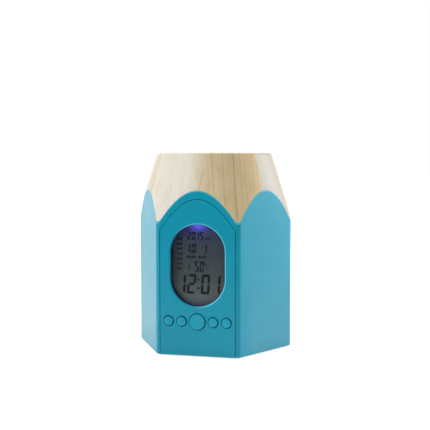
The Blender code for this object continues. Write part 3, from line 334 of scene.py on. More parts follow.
def stadium(grow, steps=40):
    """The window's outline with round ends, grown or shrunk."""
    radius = WINDOW_HALF + grow
    points = arc(0, WINDOW_TOP - WINDOW_HALF, radius, 0, HALF_TURN, steps)
    return points + arc(0, WINDOW_BOTTOM + WINDOW_HALF, radius, HALF_TURN, 2 * HALF_TURN, steps)


def front_loft(name, levels):
    """A solid through outlines seen from the front, each at its depth behind the front face."""
    rows = [[(x, -APOTHEM + depth, z) for x, z in points] for depth, points in levels]
    return grid_solid(name, rows, wrap=False)


def lip_levels(outline, edge, depth):
    """Levels of a cutter that leaves a rounded lip where it enters the front face."""
    levels = [(-edge, outline(edge))]
    levels += [(down, outline(out)) for out, down in rounded(edge)]
    return levels + [(depth, outline(0))]


def window_levels():
    """Levels of the window's cutter: a chamfered lip with softened edges."""
    soft = WINDOW_EDGE / 5
    near = [(0, WINDOW_EDGE + soft), (soft / 2, WINDOW_EDGE)]
    far = [(WINDOW_EDGE, soft / 2), (WINDOW_EDGE + soft, 0)]
    levels = [(-WINDOW_EDGE, stadium(WINDOW_EDGE + soft))]
    levels += [(depth, stadium(grow)) for depth, grow in near + far]
    return levels + [(PANEL_THICKNESS + PAST, stadium(0))]


def make_casing():
    """Hexagonal casing with rounded edges, its scallops and the seat of the front panel."""

    def profile(angle):
        outer = outline_radius(angle, APOTHEM, EDGE_RADIUS)
        inner = outline_radius(angle, INNER_APOTHEM, CORNER_RADIUS - SHELL_WALL)
        top = scallop_height(angle)
        low = [(outer - i, SHELL_BOTTOM + d) for i, d in rounded(CASING_EDGE)]
        high = []
        steps = 6
        for i in range(steps + 1):
            turn = QUARTER_TURN * i / steps
            inwards = SCALLOP_EDGE_IN * (1 - math.cos(turn))
            high.append((outer - inwards, top - SCALLOP_EDGE_DOWN * (1 - math.sin(turn))))
        return low + high + [(inner, top), (inner, SHELL_BOTTOM)]

    casing = round_the_hexagon("casing_skin", profile)
    below = SHELL_BOTTOM - 2 * PAST

    def seat_outline(grow):
        return arch_outline(PANEL_GROOVE + grow, below)

    seat = front_loft("seat", lip_levels(seat_outline, GROOVE_EDGE, PANEL_BORDER + GAP))
    opening = front_loft(
        "opening",
        [(depth, arch_outline(-PANEL_LEDGE, OPENING_BOTTOM)) for depth in (0, SHELL_WALL + 2 * PAST)],
    )
    cut(casing, [seat])
    cut(casing, [opening])
    return smooth(casing)


def cone_radius(height):
    """Radius of the collar's cone at one height."""
    return RIM_RADIUS + (RIM_TOP - height) * CONE_SLOPE


def collar_outside(low, casing_edge):
    """(radius, height) up the cone, from its tucked-in lower edge to the rounding of its rim."""
    tuck = max(0.0, cone_radius(low) - casing_edge)
    points = []
    tuck_steps, cone_steps = 6, 8
    for i in range(tuck_steps):
        share = i / tuck_steps
        height = low + share * TUCK_HEIGHT
        points.append((cone_radius(height) - tuck * (1 - share) ** 2, height))
    for i in range(cone_steps):
        height = low + TUCK_HEIGHT + (RIM_TOP - RIM_ROUND - low - TUCK_HEIGHT) * i / cone_steps
        points.append((cone_radius(height), height))
    for inwards, down in reversed(rounded(RIM_ROUND)):
        points.append((cone_radius(RIM_TOP - down) - inwards, RIM_TOP - down))
    return points


def make_collar():
    """Round wood-grained cone, cut off by the hexagon in scallops, with its skirt and the cup's ledge."""

    def profile(angle):
        low = scallop_height(angle) + SEAM
        near = outline_radius(angle, INNER_APOTHEM - GAP, CORNER_RADIUS - SHELL_WALL)
        casing_edge = outline_radius(angle, APOTHEM, EDGE_RADIUS) - SCALLOP_EDGE_IN
        off_front = abs((angle - FRONT + HALF_TURN) % (2 * HALF_TURN) - HALF_TURN)
        skirt_low = low if off_front < HALF_SIXTH else SKIRT_LOW
        seat, ledge = CUP_FLANGE_RADIUS + GAP, CUP_TOP_RADIUS + GAP
        inner, foot = near - SKIRT_WALL, skirt_low - SKIRT_OVERLAP
        points = collar_outside(low, casing_edge)
        points += [(seat + d, RIM_TOP - i) for i, d in rounded(SEAT_ROUND, 2)]
        points += [(seat, LEDGE_TOP), (ledge, LEDGE_TOP), (ledge, LEDGE_LOW)]
        points.append((cone_radius(LEDGE_LOW) - COLLAR_WALL, LEDGE_LOW))
        points.append((inner, min(low, SKIRT_LOW + SKIRT_TAPER)))
        return points + [(inner, foot), (near, foot), (near, low)]

    return smooth(round_the_hexagon("collar_skin", profile))


def make_cup():
    """Tapered well for the pens, with a rounded flange and lip."""
    foot, lip = CUP_FOOT_RADIUS, CUP_TOP_RADIUS - CUP_WALL
    floor, inner, corner = CUP_BOTTOM + CUP_FLOOR, CUP_FOOT_RADIUS - CUP_WALL, CUP_CORNER
    steps = 6
    profile = [(0, floor)]
    profile += [
        (inner - corner + corner * math.sin(t), floor + corner - corner * math.cos(t))
        for t in [QUARTER_TURN * i / steps for i in range(steps + 1)]
    ]
    profile += [(lip + i, RIM_TOP - d) for i, d in reversed(rounded(CUP_LIP_ROUND))]
    profile += [(CUP_FLANGE_RADIUS - i, RIM_TOP - d) for i, d in rounded(CUP_LIP_ROUND)]
    profile += [(CUP_FLANGE_RADIUS, CUP_SHOULDER), (CUP_TOP_RADIUS, CUP_SHOULDER)]
    profile += [(foot, CUP_BOTTOM + corner), (foot - corner, CUP_BOTTOM), (0, CUP_BOTTOM)]
    return smooth(turned("cup_skin", profile, 144))


def button_rows():
    """Name, sideways place, height and cap radius of each button, from its own solid."""
    rows = []
    for name in ("left_outer", "left_inner", "centre", "right_inner", "right_outer"):
        low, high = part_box(f"button_{name}")
        radius = (high.x - low.x) / 2 - BUTTON_FLANGE
        rows.append((name, (low.x + high.x) / 2, (low.z + high.z) / 2, radius))
    return rows


def make_panel():
    """Arched panel with a rounded rim, the window and the button holes."""
    front = [(d, arch_outline(PANEL_GROW - i, SHELL_BOTTOM + i)) for i, d in rounded(PANEL_EDGE)]
    plug = -PANEL_LEDGE - GAP
    back = [
        (PANEL_BORDER, arch_outline(PANEL_GROW, SHELL_BOTTOM)),
        (PANEL_BORDER, arch_outline(plug, OPENING_BOTTOM + GAP)),
        (PANEL_THICKNESS, arch_outline(plug, OPENING_BOTTOM + GAP)),
    ]
    panel = front_loft("panel_skin", front + back)
    cutters = [front_loft("window", window_levels())]
    for name, x, z, radius in button_rows():
        hole = radius + BUTTON_GAP
        profile = [(0, HOLE_EDGE), (hole + HOLE_EDGE, HOLE_EDGE)]
        profile += [(hole + i, -d) for i, d in rounded(HOLE_EDGE)]
        profile += [(hole, -PANEL_THICKNESS - PAST), (0, -PANEL_THICKNESS - PAST)]
        cutters.append(turned(f"hole_{name}", profile, 64, (x, -APOTHEM, z), outwards=True))
    cut(panel, cutters)
    return smooth(panel)


def make_button(name, x, z, radius):
    """A slightly crowned cap with its flange and stem behind the panel."""
    inner, fall = radius - CAP_ROUND, CAP_TOP - CAP_SHOULDER
    steps = 12
    profile = [(inner * i / steps, CAP_TOP - fall * (i / steps) ** 2) for i in range(steps)]
    profile += [(radius - i, CAP_SHOULDER - d) for i, d in rounded(CAP_ROUND)]
    flange = radius + BUTTON_FLANGE
    front = -PANEL_THICKNESS - GAP
    back = front - FLANGE_THICKNESS
    end = -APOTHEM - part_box(f"button_{name}")[1].y
    profile += [(radius, front), (flange, front), (flange, back)]
    profile += [(STEM_RADIUS, back), (STEM_RADIUS, end), (0, end)]
    return smooth(turned(f"cap_{name}", profile, 64, (x, -APOTHEM, z), outwards=True))


def flat_shapes(name, outlines, depth, thickness):
    """Thin flat shapes seen from the front, standing out from one depth."""
    shape = bmesh.new()
    for points in outlines:
        near = [shape.verts.new((x, depth - thickness, z)) for x, z in points]
        far = [shape.verts.new((x, depth, z)) for x, z in points]
        shape.faces.new(near)
        shape.faces.new(list(reversed(far)))
        for i in range(len(points)):
            j = (i + 1) % len(points)
            shape.faces.new((near[i], near[j], far[j], far[i]))
    return from_bmesh(name, shape)


# Lit segments of a digit: top, top left, top right, middle, bottom left, bottom right, bottom
DIGIT_SEGMENTS = {
    "0": "1110111",
    "1": "0010010",
    "2": "1011101",
    "5": "1101011",
}


def digit_outlines(digit, left, low, width, height, stroke):
    """Outlines of the lit segments of one slightly slanted digit, with mitred ends."""
    slant, nick_share = 0.06, 0.08
    nick = stroke * nick_share
    middle = height / 2
    half = stroke / 2
    outer, inner = nick, stroke + nick

    bar_across = [(outer, height), (width - outer, height), (width - inner, height - stroke)]
    bar_across.append((inner, height - stroke))
    bar_up = [(0, height - outer), (stroke, height - inner)]
    bar_up += [(stroke, middle + half + nick), (0, middle + nick)]
    bar_middle = [(half + nick, middle), (inner, middle + half), (width - inner, middle + half)]
    bar_middle += [(width - half - nick, middle), (width - inner, middle - half), (inner, middle - half)]

    def mirrored(bar, across, down):
        """The same bar at the other side, or at the other end, of the digit."""
        return [(width - x if across else x, height - z if down else z) for x, z in bar]

    bars = [
        bar_across,
        bar_up,
        mirrored(bar_up, True, False),
        bar_middle,
        mirrored(bar_up, False, True),
        mirrored(bar_up, True, True),
        mirrored(bar_across, False, True),
    ]
    lit = [bar for bar, on in zip(bars, DIGIT_SEGMENTS[digit]) if on == "1"]
    return [[(left + x + slant * z, low + z) for x, z in bar] for bar in lit]


def block(left, low, width, height):
    """Outline of an upright rectangle seen from the front."""
    return [(left, low), (left + width, low), (left + width, low + height), (left, low + height)]


# Digits of the year, the date, the temperature and the time: digit, left, bottom, width, height, stroke
DISPLAY_DIGITS = [
    ("2", -0.0071, 0.0698, 0.0021, 0.0048, 0.00072),
    ("0", -0.0045, 0.0698, 0.0021, 0.0048, 0.00072),
    ("1", -0.0022, 0.0698, 0.0020, 0.0048, 0.00072),
    ("5", 0.0004, 0.0698, 0.0021, 0.0048, 0.00072),
    ("1", -0.0079, 0.0618, 0.0023, 0.0057, 0.00090),
    ("0", -0.0048, 0.0618, 0.0025, 0.0057, 0.00090),
    ("1", 0.0023, 0.0618, 0.0023, 0.0057, 0.00090),
    ("5", -0.0029, 0.0508, 0.0026, 0.0063, 0.00095),
    ("0", 0.0002, 0.0508, 0.0027, 0.0063, 0.00095),
    ("1", -0.0138, 0.0374, 0.0051, 0.0118, 0.00150),
    ("2", -0.0077, 0.0374, 0.0053, 0.0118, 0.00150),
    ("0", 0.0009, 0.0374, 0.0053, 0.0118, 0.00150),
    ("1", 0.0075, 0.0374, 0.0051, 0.0118, 0.00150),
]

# Rows of small blocks, seven of them one above the other: left, bottom, number of blocks, width, height
STACKED_ROWS = 7
STACKED_STEP = 0.00298
BLOCK_ROWS = [
    (0.0040, 0.0701, 3, 0.0009, 0.0012),
    (-0.0073, 0.0589, 4, 0.0010, 0.0015),
    (-0.0004, 0.0589, 4, 0.0009, 0.0015),
]
BLOCK_ROWS += [(-0.0137, 0.0697 - STACKED_STEP * i, 3, 0.0008, 0.0014) for i in range(STACKED_ROWS)]

# Single blocks beside the temperature: left, bottom, width, height
SINGLE_BLOCKS = [
    (-0.0066, 0.0518, 0.0006, 0.0034),
    (0.0037, 0.0545, 0.0010, 0.0009),
    (0.0045, 0.0516, 0.0005, 0.0024),
]

# The colon of the time: left, size of a dot, and heights of the two
COLON_LEFT = -0.0012
COLON_DOT = 0.0012
COLON_HEIGHTS = (0.0408, 0.0460)


def make_segments():
    """What the display shows: year, date, temperature and time in digits, with plain blocks beside them."""
    outlines = []
    for digit in DISPLAY_DIGITS:
        outlines += digit_outlines(*digit)
    for z in COLON_HEIGHTS:
        outlines.append(block(COLON_LEFT, z - COLON_DOT / 2, COLON_DOT, COLON_DOT))
    # every second block of a row is lower
    spacing, low_share = 1.45, 0.8
    for left, low, count, width, height in BLOCK_ROWS:
        for i in range(count):
            tall = height * (low_share if i % 2 else 1)
            outlines.append(block(left + i * width * spacing, low, width, tall))
    outlines += [block(*single) for single in SINGLE_BLOCKS]
    return flat_shapes("display_marks", outlines, LCD_PLANE - INK_GAP, INK_THICKNESS)


def make_bezel():
    """Dark frame behind the window, open over the display."""
    low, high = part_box("display_bezel")
    outer = [(low.x, low.z), (high.x, low.z), (high.x, high.z), (low.x, high.z)]
    near, far = low.y + APOTHEM, high.y + APOTHEM
    bezel = front_loft("bezel_skin", [(near, outer), (far, outer)])
    seat_outline = stadium(LENS_SEAT_GROW)
    lens_seat = [(near - PAST, seat_outline), (near + LENS_SEAT_DEPTH, seat_outline)]
    sight = [(near - PAST, stadium(0)), (far + PAST, stadium(0))]
    glass_low, glass_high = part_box("lcd_panel")
    left, right = glass_low.x - GAP, glass_high.x + GAP
    bottom, top = glass_low.z - GAP, glass_high.z + GAP
    pocket = [(left, bottom), (right, bottom), (right, top), (left, top)]
    front = glass_low.y + APOTHEM - GAP
    for cutter in (
        front_loft("lens_seat_cut", lens_seat),
        front_loft("sight_cut", sight),
        front_loft("pocket_cut", [(front, pocket), (far + PAST, pocket)]),
    ):
        cut(bezel, [cutter])
    return smooth(bezel)


def make_shade_liner():
    """Thin dark sheet of painted shade on the window's wall, from the frame to just behind its lip."""
    start = WINDOW_EDGE + SHADE_LINER_BEHIND_LIP
    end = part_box("window_lens")[0].y + APOTHEM - SHADE_LINER_OFF_LENS
    inner, outer = -WINDOW_SHADE_LINER, -SHADE_LINER_OFF_WALL
    profile = [(start + SHADE_LINER_EDGE, inner), (start, inner + SHADE_LINER_EDGE)]
    profile += [(start, outer), (end, outer), (end, inner)]
    rings = []
    for depth, grow in profile:
        rings.append([(x, -APOTHEM + depth, z) for x, z in stadium(grow)])
    return smooth(grid_solid("window_shade_liner", rings, wrap=True))


def make_lens():
    """Clear window with a small rounding at its edge."""
    low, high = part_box("window_lens")
    near, far = low.y + APOTHEM, high.y + APOTHEM
    full, eased = stadium(LENS_GROW), stadium(LENS_GROW - LENS_EDGE)
    levels = [(near, eased), (near + LENS_EDGE, full), (far - LENS_EDGE, full), (far, eased)]
    return smooth(front_loft("lens_skin", levels))


def make_mark(name, x, z, shape):
    """A small raised mark on the crown of a cap."""
    if shape == "ring":
        radius, wire, height, wire_steps = 0.0011, 0.00018, 0.00080, 16
        turns = [2 * HALF_TURN * i / wire_steps for i in range(wire_steps)]
        profile = [(radius + wire * math.cos(t), height + wire * math.sin(t)) for t in turns]
        profile.append(profile[0])
        made = turned(name, profile, 40, (x, -APOTHEM, z), outwards=True)
        weld(made)
        return smooth(made)
    long, short, back = 0.0011, 0.00024, 0.0006
    outlines = {
        "minus": [block(x - long, z - short, 2 * long, 2 * short)],
        "up": [[(x - long, z - back), (x + long, z - back), (x, z + long)]],
        "down": [[(x - long, z + back), (x, z - long), (x + long, z + back)]],
    }[shape]
    made = flat_shapes(name, outlines, -APOTHEM - MARK_FOOT, MARK_THICKNESS)
    step = made.modifiers.new("edges", "BEVEL")
    step.width = MARK_EDGE
    step.segments = 3
    return smooth(settle(made))


def weld(obj, reach=1e-6):
    """Join points that lie on each other, so that a closed profile closes."""
    shape = bmesh.new()
    shape.from_mesh(obj.data)
    bmesh.ops.remove_doubles(shape, verts=shape.verts, dist=reach)
    bmesh.ops.recalc_face_normals(shape, faces=shape.faces)
    shape.to_mesh(obj.data)
    shape.free()


def make_foot(node):
    """Rubber foot with a rounded lower edge."""
    low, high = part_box(node)
    centre = ((low.x + high.x) / 2, (low.y + high.y) / 2, 0)
    radius = (high.x - low.x) / 2
    profile = [(0, high.z), (radius - FOOT_TOP_EDGE, high.z), (radius, high.z - FOOT_TOP_EDGE)]
    profile += [(radius - i, low.z + d) for i, d in reversed(rounded(FOOT_ROUND, 6))]
    profile.append((0, low.z))
    return smooth(turned(f"{node}_skin", profile, 48, centre))


def make_base_screw(node):
    """Pan-head screw with a cross recess, seen from below."""
    low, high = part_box(node)
    x, y = (low.x + high.x) / 2, (low.y + high.y) / 2
    head, shank = (high.x - low.x) / 2, SHANK_RADIUS
    under = low.z + HEAD_HEIGHT
    profile = [(0, high.z), (shank / 2, high.z), (shank, high.z - shank), (shank, under), (head, under)]
    profile += [(head - i, low.z + d) for i, d in reversed(rounded(HEAD_ROUND, 6))]
    profile.append((0, low.z))
    screw = turned(f"{node}_skin", profile, 40, (x, y, 0))
    arms = []
    for turn in (0, QUARTER_TURN):
        shape = bmesh.new()
        bmesh.ops.create_cube(shape, size=1)
        size = Matrix.Diagonal((*RECESS_SIZE, 1))
        place = Matrix.Translation((x, y, low.z)) @ Matrix.Rotation(turn + RECESS_TURN, 4, "Z") @ size
        bmesh.ops.transform(shape, matrix=place, verts=shape.verts)
        arms.append(from_bmesh(f"arm_{turn:.0f}", shape))
    cut(screw, arms)
    return smooth(screw)


class Nodes:
    """A node tree, with short ways to add to it."""

    def __init__(self, tree):
        self.tree = tree

    def node(self, kind, inputs=(), **settings):
        """A new node with its settings, and each input linked or set."""
        made = self.tree.nodes.new(kind)
        for name, value in settings.items():
            setattr(made, name, value)
        for socket, value in dict(inputs).items():
            self.feed(made.inputs[socket], value)
        return made

    def feed(self, socket, value):
        """Link a socket to another one, or set its value."""
        if isinstance(value, bpy.types.NodeSocket):
            self.tree.links.new(value, socket)
        else:
            socket.default_value = value

    def calc(self, operation, *values):
        """The result of a sum on linked or plain values."""
        made = self.node("ShaderNodeMath", enumerate(values), operation=operation)
        return made.outputs[0]


class Look(Nodes):
    """A material with its main shader, and short ways to give that its texture."""

    def __init__(self, name, **settings):
        self.material = bpy.data.materials.new(name)
        self.material.use_nodes = True
        super().__init__(self.material.node_tree)
        self.shader = self.tree.nodes["Principled BSDF"]
        for socket, value in settings.items():
            self.shader.inputs[socket.replace("_", " ")].default_value = value
        self.place = self.node("ShaderNodeTexCoord").outputs["Object"]

    def set(self, socket, value):
        """Link or set one of the shader's own sockets."""
        self.feed(self.shader.inputs[socket], value)

    def stretched(self, x, y, z):
        """The place with each axis scaled by its own factor."""
        made = self.node("ShaderNodeMapping", {"Vector": self.place, "Scale": (x, y, z)})
        return made.outputs[0]

    def noise(self, scale, detail=2.0, roughness=0.5, vector=None):
        """Soft noise from 0 to 1, at the object's own place unless another is given."""
        sockets = {
            "Vector": self.place if vector is None else vector,
            "Scale": scale,
            "Detail": detail,
            "Roughness": roughness,
        }
        return self.node("ShaderNodeTexNoise", sockets).outputs["Fac"]

    def ramp(self, factor, stops):
        """Colours or grey levels between stops of (place, colour or level)."""
        made = self.node("ShaderNodeValToRGB", {"Fac": factor})
        marks = made.color_ramp.elements
        while len(marks) < len(stops):
            marks.new(0.5)
        for mark, (place, colour) in zip(marks, stops):
            mark.position = place
            mark.color = (*colour, 1) if isinstance(colour, tuple) else (colour, colour, colour, 1)
        return made.outputs["Color"]

    def mix(self, factor, first, second):
        """A blend from the first colour to the second."""
        made = self.node("ShaderNodeMix", data_type="RGBA")
        # of this node's sockets, 0, 6 and 7 are the factor and the two colours, and 2 is the mixed colour
        for i, value in ((0, factor), (6, first), (7, second)):
            if isinstance(value, tuple):
                value = (*value, 1)
            self.feed(made.inputs[i], value)
        return made.outputs[2]

    def bump(self, height, strength, distance):
        """Raise and lower the surface's shading by a height from 0 to 1."""
        sockets = {"Height": height, "Strength": strength, "Distance": distance}
        self.set("Normal", self.node("ShaderNodeBump", sockets).outputs[0])


def mottling(look, dark, light):
    """Faint clouds between two tones."""
    return look.ramp(look.noise(45.0, 3.0), [(0.35, dark), (0.65, light)])


def uneven_gloss(look, smoothest, roughest):
    """Roughness that varies a little from place to place."""
    return look.ramp(look.noise(160.0, 2.0), [(0.3, smoothest), (0.7, roughest)])


def plastic(name, tones, roughness, grain, specular=0.3):
    """Moulded plastic: tones and roughness from and to, and a fine grain of one scale and strength."""
    look = Look(name, Specular_IOR_Level=specular)
    look.set("Base Color", mottling(look, *tones))
    look.set("Roughness", uneven_gloss(look, *roughness))
    grain_scale, grain_strength = grain
    look.bump(look.noise(grain_scale, 2.0), grain_strength, GRAIN_DEPTH)
    return look.material


def low_floor_reflection(look, x, z):
    """How much a painted floor reflection lightens the lower faces, most at the sides, from 0 to 1."""
    # the places are in decimetres, which keeps them between 0 and 1
    decimetres = 10.0
    height = look.calc("MULTIPLY", z, decimetres)
    sideways = look.calc("MULTIPLY", look.calc("ABSOLUTE", x), decimetres)
    low = look.ramp(height, [(0.10, 1.0), (0.75, 0.0)])
    return look.calc("MULTIPLY", low, look.ramp(sideways, [(0.25, 0.10), (0.32, 0.36)]))


def highlighted_plastic(name, highlight_at):
    """The casing's plastic: a painted highlight makes it paler, and smoother too, along the edges that the
    given mask marks, and a painted floor reflection makes it lighter low on its side faces.
    """
    # the third tone is the painted highlight along the edges, and the next one is the painted floor
    # reflection low on the side faces
    dark, light, pale = (0.0012, 0.254, 0.362), (0.0018, 0.268, 0.384), (0.110, 0.500, 0.620)
    reflected_floor_blue = (0.140, 0.312, 0.384)
    look = Look(name, Specular_IOR_Level=BLUE_GLOSS)
    parts = look.node("ShaderNodeSeparateXYZ", {"Vector": look.place})
    x, y, z = parts.outputs
    edge_highlight = highlight_at(look, x, y, z)
    # painted floor reflection: a whiter blue low on the side faces
    blue = look.mix(low_floor_reflection(look, x, z), mottling(look, dark, light), reflected_floor_blue)
    # painted highlight: paler along the marked edges
    look.set("Base Color", look.mix(edge_highlight, blue, pale))
    # the highlighted edges are also smoother
    polish = -0.08
    look.set("Roughness", look.calc("MULTIPLY_ADD", edge_highlight, polish, uneven_gloss(look, 0.35, 0.39)))
    look.bump(look.noise(2600.0, 2.0), 0.08, GRAIN_DEPTH)
    return look.material


def scallop_edge_highlight(look, x, y, z):
    """How much painted highlight a place gets from the edge that the cone cuts on the casing, more the
    closer it is, from 0 to 1.
    """
    radius = look.calc("SQRT", look.calc("MULTIPLY_ADD", x, x, look.calc("MULTIPLY", y, y)))
    cone = look.calc("MULTIPLY_ADD", z, -CONE_SLOPE, RIM_RADIUS + RIM_TOP * CONE_SLOPE)
    below = look.calc("SUBTRACT", cone, radius)
    millimetres = 1000.0
    # a painted highlight in a narrow band just below the edge
    return look.ramp(look.calc("MULTIPLY", below, millimetres), [(0.12, 0.7), (0.30, 0.0)])


def window_lip_highlight(look, x, y, z):
    """Painted highlight on the window's lip, fading out at its left and below its lower left, which are in
    shade.
    """
    skin, reach = 0.00004, 0.0020
    depth = look.calc("ADD", y, APOTHEM)
    lip = look.calc("GREATER_THAN", depth, skin)
    for part in (
        look.calc("LESS_THAN", depth, WINDOW_EDGE + SHADE_LINER_BEHIND_LIP),
        look.calc("LESS_THAN", look.calc("ABSOLUTE", x), WINDOW_HALF + reach),
        look.calc("GREATER_THAN", z, WINDOW_BOTTOM - reach),
        look.calc("LESS_THAN", z, WINDOW_TOP + reach),
    ):
        lip = look.calc("MULTIPLY", lip, part)
    # the painted highlight is held back at the left and lower left, where the lip is in shade
    from_left = look.calc("MULTIPLY_ADD", x, 1 / (2 * WINDOW_HALF), 0.5)
    height = look.calc("DIVIDE", look.calc("SUBTRACT", z, WINDOW_BOTTOM), WINDOW_TOP - WINDOW_BOTTOM)
    held_back = look.ramp(height, [(0.02, 0.38), (0.40, 0.0)])
    share = look.calc("SUBTRACT", from_left, held_back)
    return look.calc("MULTIPLY", lip, look.ramp(share, [(0.06, 0.0), (0.30, 1.0)]))


# Staves that the collar's wood is joined from: how many, and the direction of one seam
STAVES = 7
FIRST_SEAM = math.radians(-35)
STAVE_WIDTH = 2 * HALF_TURN / STAVES

# Tones of the wood
CREAM = (0.665, 0.628, 0.548)
WARM = (0.600, 0.545, 0.430)
STRAW = (0.64, 0.57, 0.44)
TAN = (0.590, 0.492, 0.310)
TAN_DEEP = (0.545, 0.425, 0.232)
HONEY = (0.53, 0.43, 0.27)
PALE = (0.465, 0.440, 0.380)
PALE_SHADED_END = (0.300, 0.284, 0.244)
SHADED = (0.330, 0.300, 0.230)

# Each stave from seam to seam in degrees: tone at both ends, and strength of the growth lines
STAVE_TONES = [
    (-180, -138, WARM, WARM, 0.25),
    (-137, -99, CREAM, CREAM, 0.12),
    (-82, -35, TAN, TAN_DEEP, 1.0),
    # this stave darkens towards its right seam: painted shade that offsets the strong light from the back
    # right lamp
    (-34, -3, PALE, PALE_SHADED_END, 0.12),
    (-2, -1.4, HONEY, HONEY, 0.12),
    (-0.8, 67, SHADED, TAN, 0.5),
    (68, 118, STRAW, CREAM, 0.3),
    (119, 170, TAN, HONEY, 0.8),
    (171, 180, WARM, WARM, 0.25),
]


def stave_tones(look, angle):
    """Tone of the wood in one direction, and strength of its growth lines."""
    turn = look.calc("MULTIPLY_ADD", angle, 0.5 / HALF_TURN, 0.5)
    tones, strengths = [], []
    for start, end, first_tone, last_tone, strength in STAVE_TONES:
        for degrees, tone in ((start, first_tone), (end, last_tone)):
            tones.append((degrees / 360 + 0.5, tone))
            strengths.append((degrees / 360 + 0.5, strength))
    return look.ramp(turn, tones), look.ramp(turn, strengths)


def stave_course(look, x, y, angle):
    """Place across the staves, which wanders a little with height and starts elsewhere in each."""
    stave = look.calc("FLOOR", look.calc("DIVIDE", look.calc("SUBTRACT", angle, FIRST_SEAM), STAVE_WIDTH))
    middle = look.calc("MULTIPLY_ADD", look.calc("ADD", stave, 0.5), STAVE_WIDTH, FIRST_SEAM)
    sine, cosine = look.calc("SINE", middle), look.calc("COSINE", middle)
    across = look.calc("SUBTRACT", look.calc("MULTIPLY", y, cosine), look.calc("MULTIPLY", x, sine))
    wander, stave_shift = 0.005, 0.0371
    wobble = look.noise(14.0, 2.0, vector=look.stretched(1.0, 1.0, 0.5))
    shifted = look.calc("MULTIPLY_ADD", stave, stave_shift, across)
    return look.calc("MULTIPLY_ADD", wobble, wander, shifted)


def growth_lines(look, course):
    """Dark lines of uneven spacing and weight that run up the staves, from 0 to 1."""
    lines_per_metre, unevenness = 400.0, 3.2
    along_course = look.node("ShaderNodeCombineXYZ", {"X": course}).outputs[0]
    uneven = look.calc("MULTIPLY", look.noise(130.0, 1.0, vector=along_course), unevenness)
    phase = look.calc("MULTIPLY_ADD", course, lines_per_metre, uneven)
    line_stops = [(0.0, 0.0), (0.66, 0.06), (0.82, 0.30), (0.91, 1.0), (1.0, 0.0)]
    line = look.ramp(look.calc("FRACT", phase), line_stops)
    weight = look.node("ShaderNodeTexWhiteNoise", {"W": look.calc("FLOOR", phase)}, noise_dimensions="1D")
    heavy = look.calc("MULTIPLY_ADD", look.calc("POWER", weight.outputs["Value"], 1.4), 0.85, 0.15)
    return look.calc("MULTIPLY", line, heavy)


def wood(name):
    """Upright staves of pale softwood, each with its own tone and its own growth lines."""
    look = Look(name, Specular_IOR_Level=0.3)
    parts = look.node("ShaderNodeSeparateXYZ", {"Vector": look.place})
    x, y, _ = parts.outputs
    angle = look.calc("ARCTAN2", y, x)
    tone, strength = stave_tones(look, angle)
    late = look.calc("MULTIPLY", growth_lines(look, stave_course(look, x, y, angle)), strength)

    band_brown, line_brown, fibre_brown = (0.440, 0.325, 0.150), (0.330, 0.175, 0.055), (0.36, 0.25, 0.12)
    streak = look.noise(1.0, 2.0, 0.5, vector=look.stretched(260.0, 260.0, 9.0))
    banded = look.calc("MULTIPLY_ADD", strength, 0.70, 0.22)
    fibre = look.noise(1.0, 3.0, 0.6, vector=look.stretched(1500.0, 1500.0, 45.0))
    banding = look.calc("MULTIPLY", look.ramp(streak, [(0.42, 0.0), (0.70, 0.40)]), banded)
    colour = look.mix(banding, tone, band_brown)
    colour = look.mix(look.calc("MULTIPLY", late, 0.90), colour, line_brown)
    colour = look.mix(look.ramp(fibre, [(0.35, 0.10), (0.6, 0.0)]), colour, fibre_brown)
    look.set("Base Color", colour)
    look.set("Roughness", look.ramp(fibre, [(0.3, 0.60), (0.7, 0.46)]))
    pore_depth = 0.00005
    look.bump(look.calc("MULTIPLY_ADD", late, -0.5, fibre), 0.10, pore_depth)
    return look.material


def lamp_glow(look):
    """The lamp's light on the display, which fades with distance and faster downwards than sideways."""
    lamp_place, fading = (-0.0005, LCD_PLANE, 0.0790), (170.0, 0.0, 260.0)
    from_lamp = look.node("ShaderNodeVectorMath", {0: look.place, 1: lamp_place}, operation="SUBTRACT")
    spread = look.node("ShaderNodeVectorMath", {0: from_lamp.outputs[0], 1: fading}, operation="MULTIPLY")
    away = look.node("ShaderNodeVectorMath", {0: spread.outputs[0]}, operation="LENGTH").outputs["Value"]
    core = look.calc("EXPONENT", look.calc("MULTIPLY", look.calc("POWER", away, 2.0), -1.2))
    haze = look.calc("EXPONENT", look.calc("MULTIPLY", away, -0.75))
    haze_share = 0.22
    return look.calc("MULTIPLY_ADD", haze, haze_share, core)


def display(name):
    """Grey display film, lit violet by the lamp at its top edge, with more of the lamp's violet light
    painted into its colour at its top and bottom.
    """
    look = Look(name, Specular_IOR_Level=0.1, Roughness=0.35)
    parts = look.node("ShaderNodeSeparateXYZ", {"Vector": look.place})
    low, tall = 0.0300, 0.0500
    height = look.calc("DIVIDE", look.calc("SUBTRACT", parts.outputs[2], low), tall)
    # painted violet light at the bottom and top of the film, and lighter towards the bottom
    base = look.ramp(
        height,
        [
            (0.0, (0.095, 0.090, 0.140)),
            (0.12, (0.098, 0.124, 0.124)),
            (0.35, (0.056, 0.074, 0.078)),
            (0.75, (0.038, 0.050, 0.064)),
            (1.0, (0.038, 0.038, 0.085)),
        ],
    )
    cell = look.noise(900.0, 1.0)
    look.set("Base Color", look.mix(look.ramp(cell, [(0.4, 0.0), (0.6, 0.12)]), base, (0.10, 0.11, 0.11)))
    glow = lamp_glow(look)
    look.set("Emission Color", look.ramp(glow, [(0.0, (0.06, 0.04, 0.75)), (1.0, (0.11, 0.12, 0.98))]))
    look.set("Emission Strength", look.calc("MULTIPLY", glow, 0.80))
    look.bump(cell, 0.03, 0.00001)
    return look.material


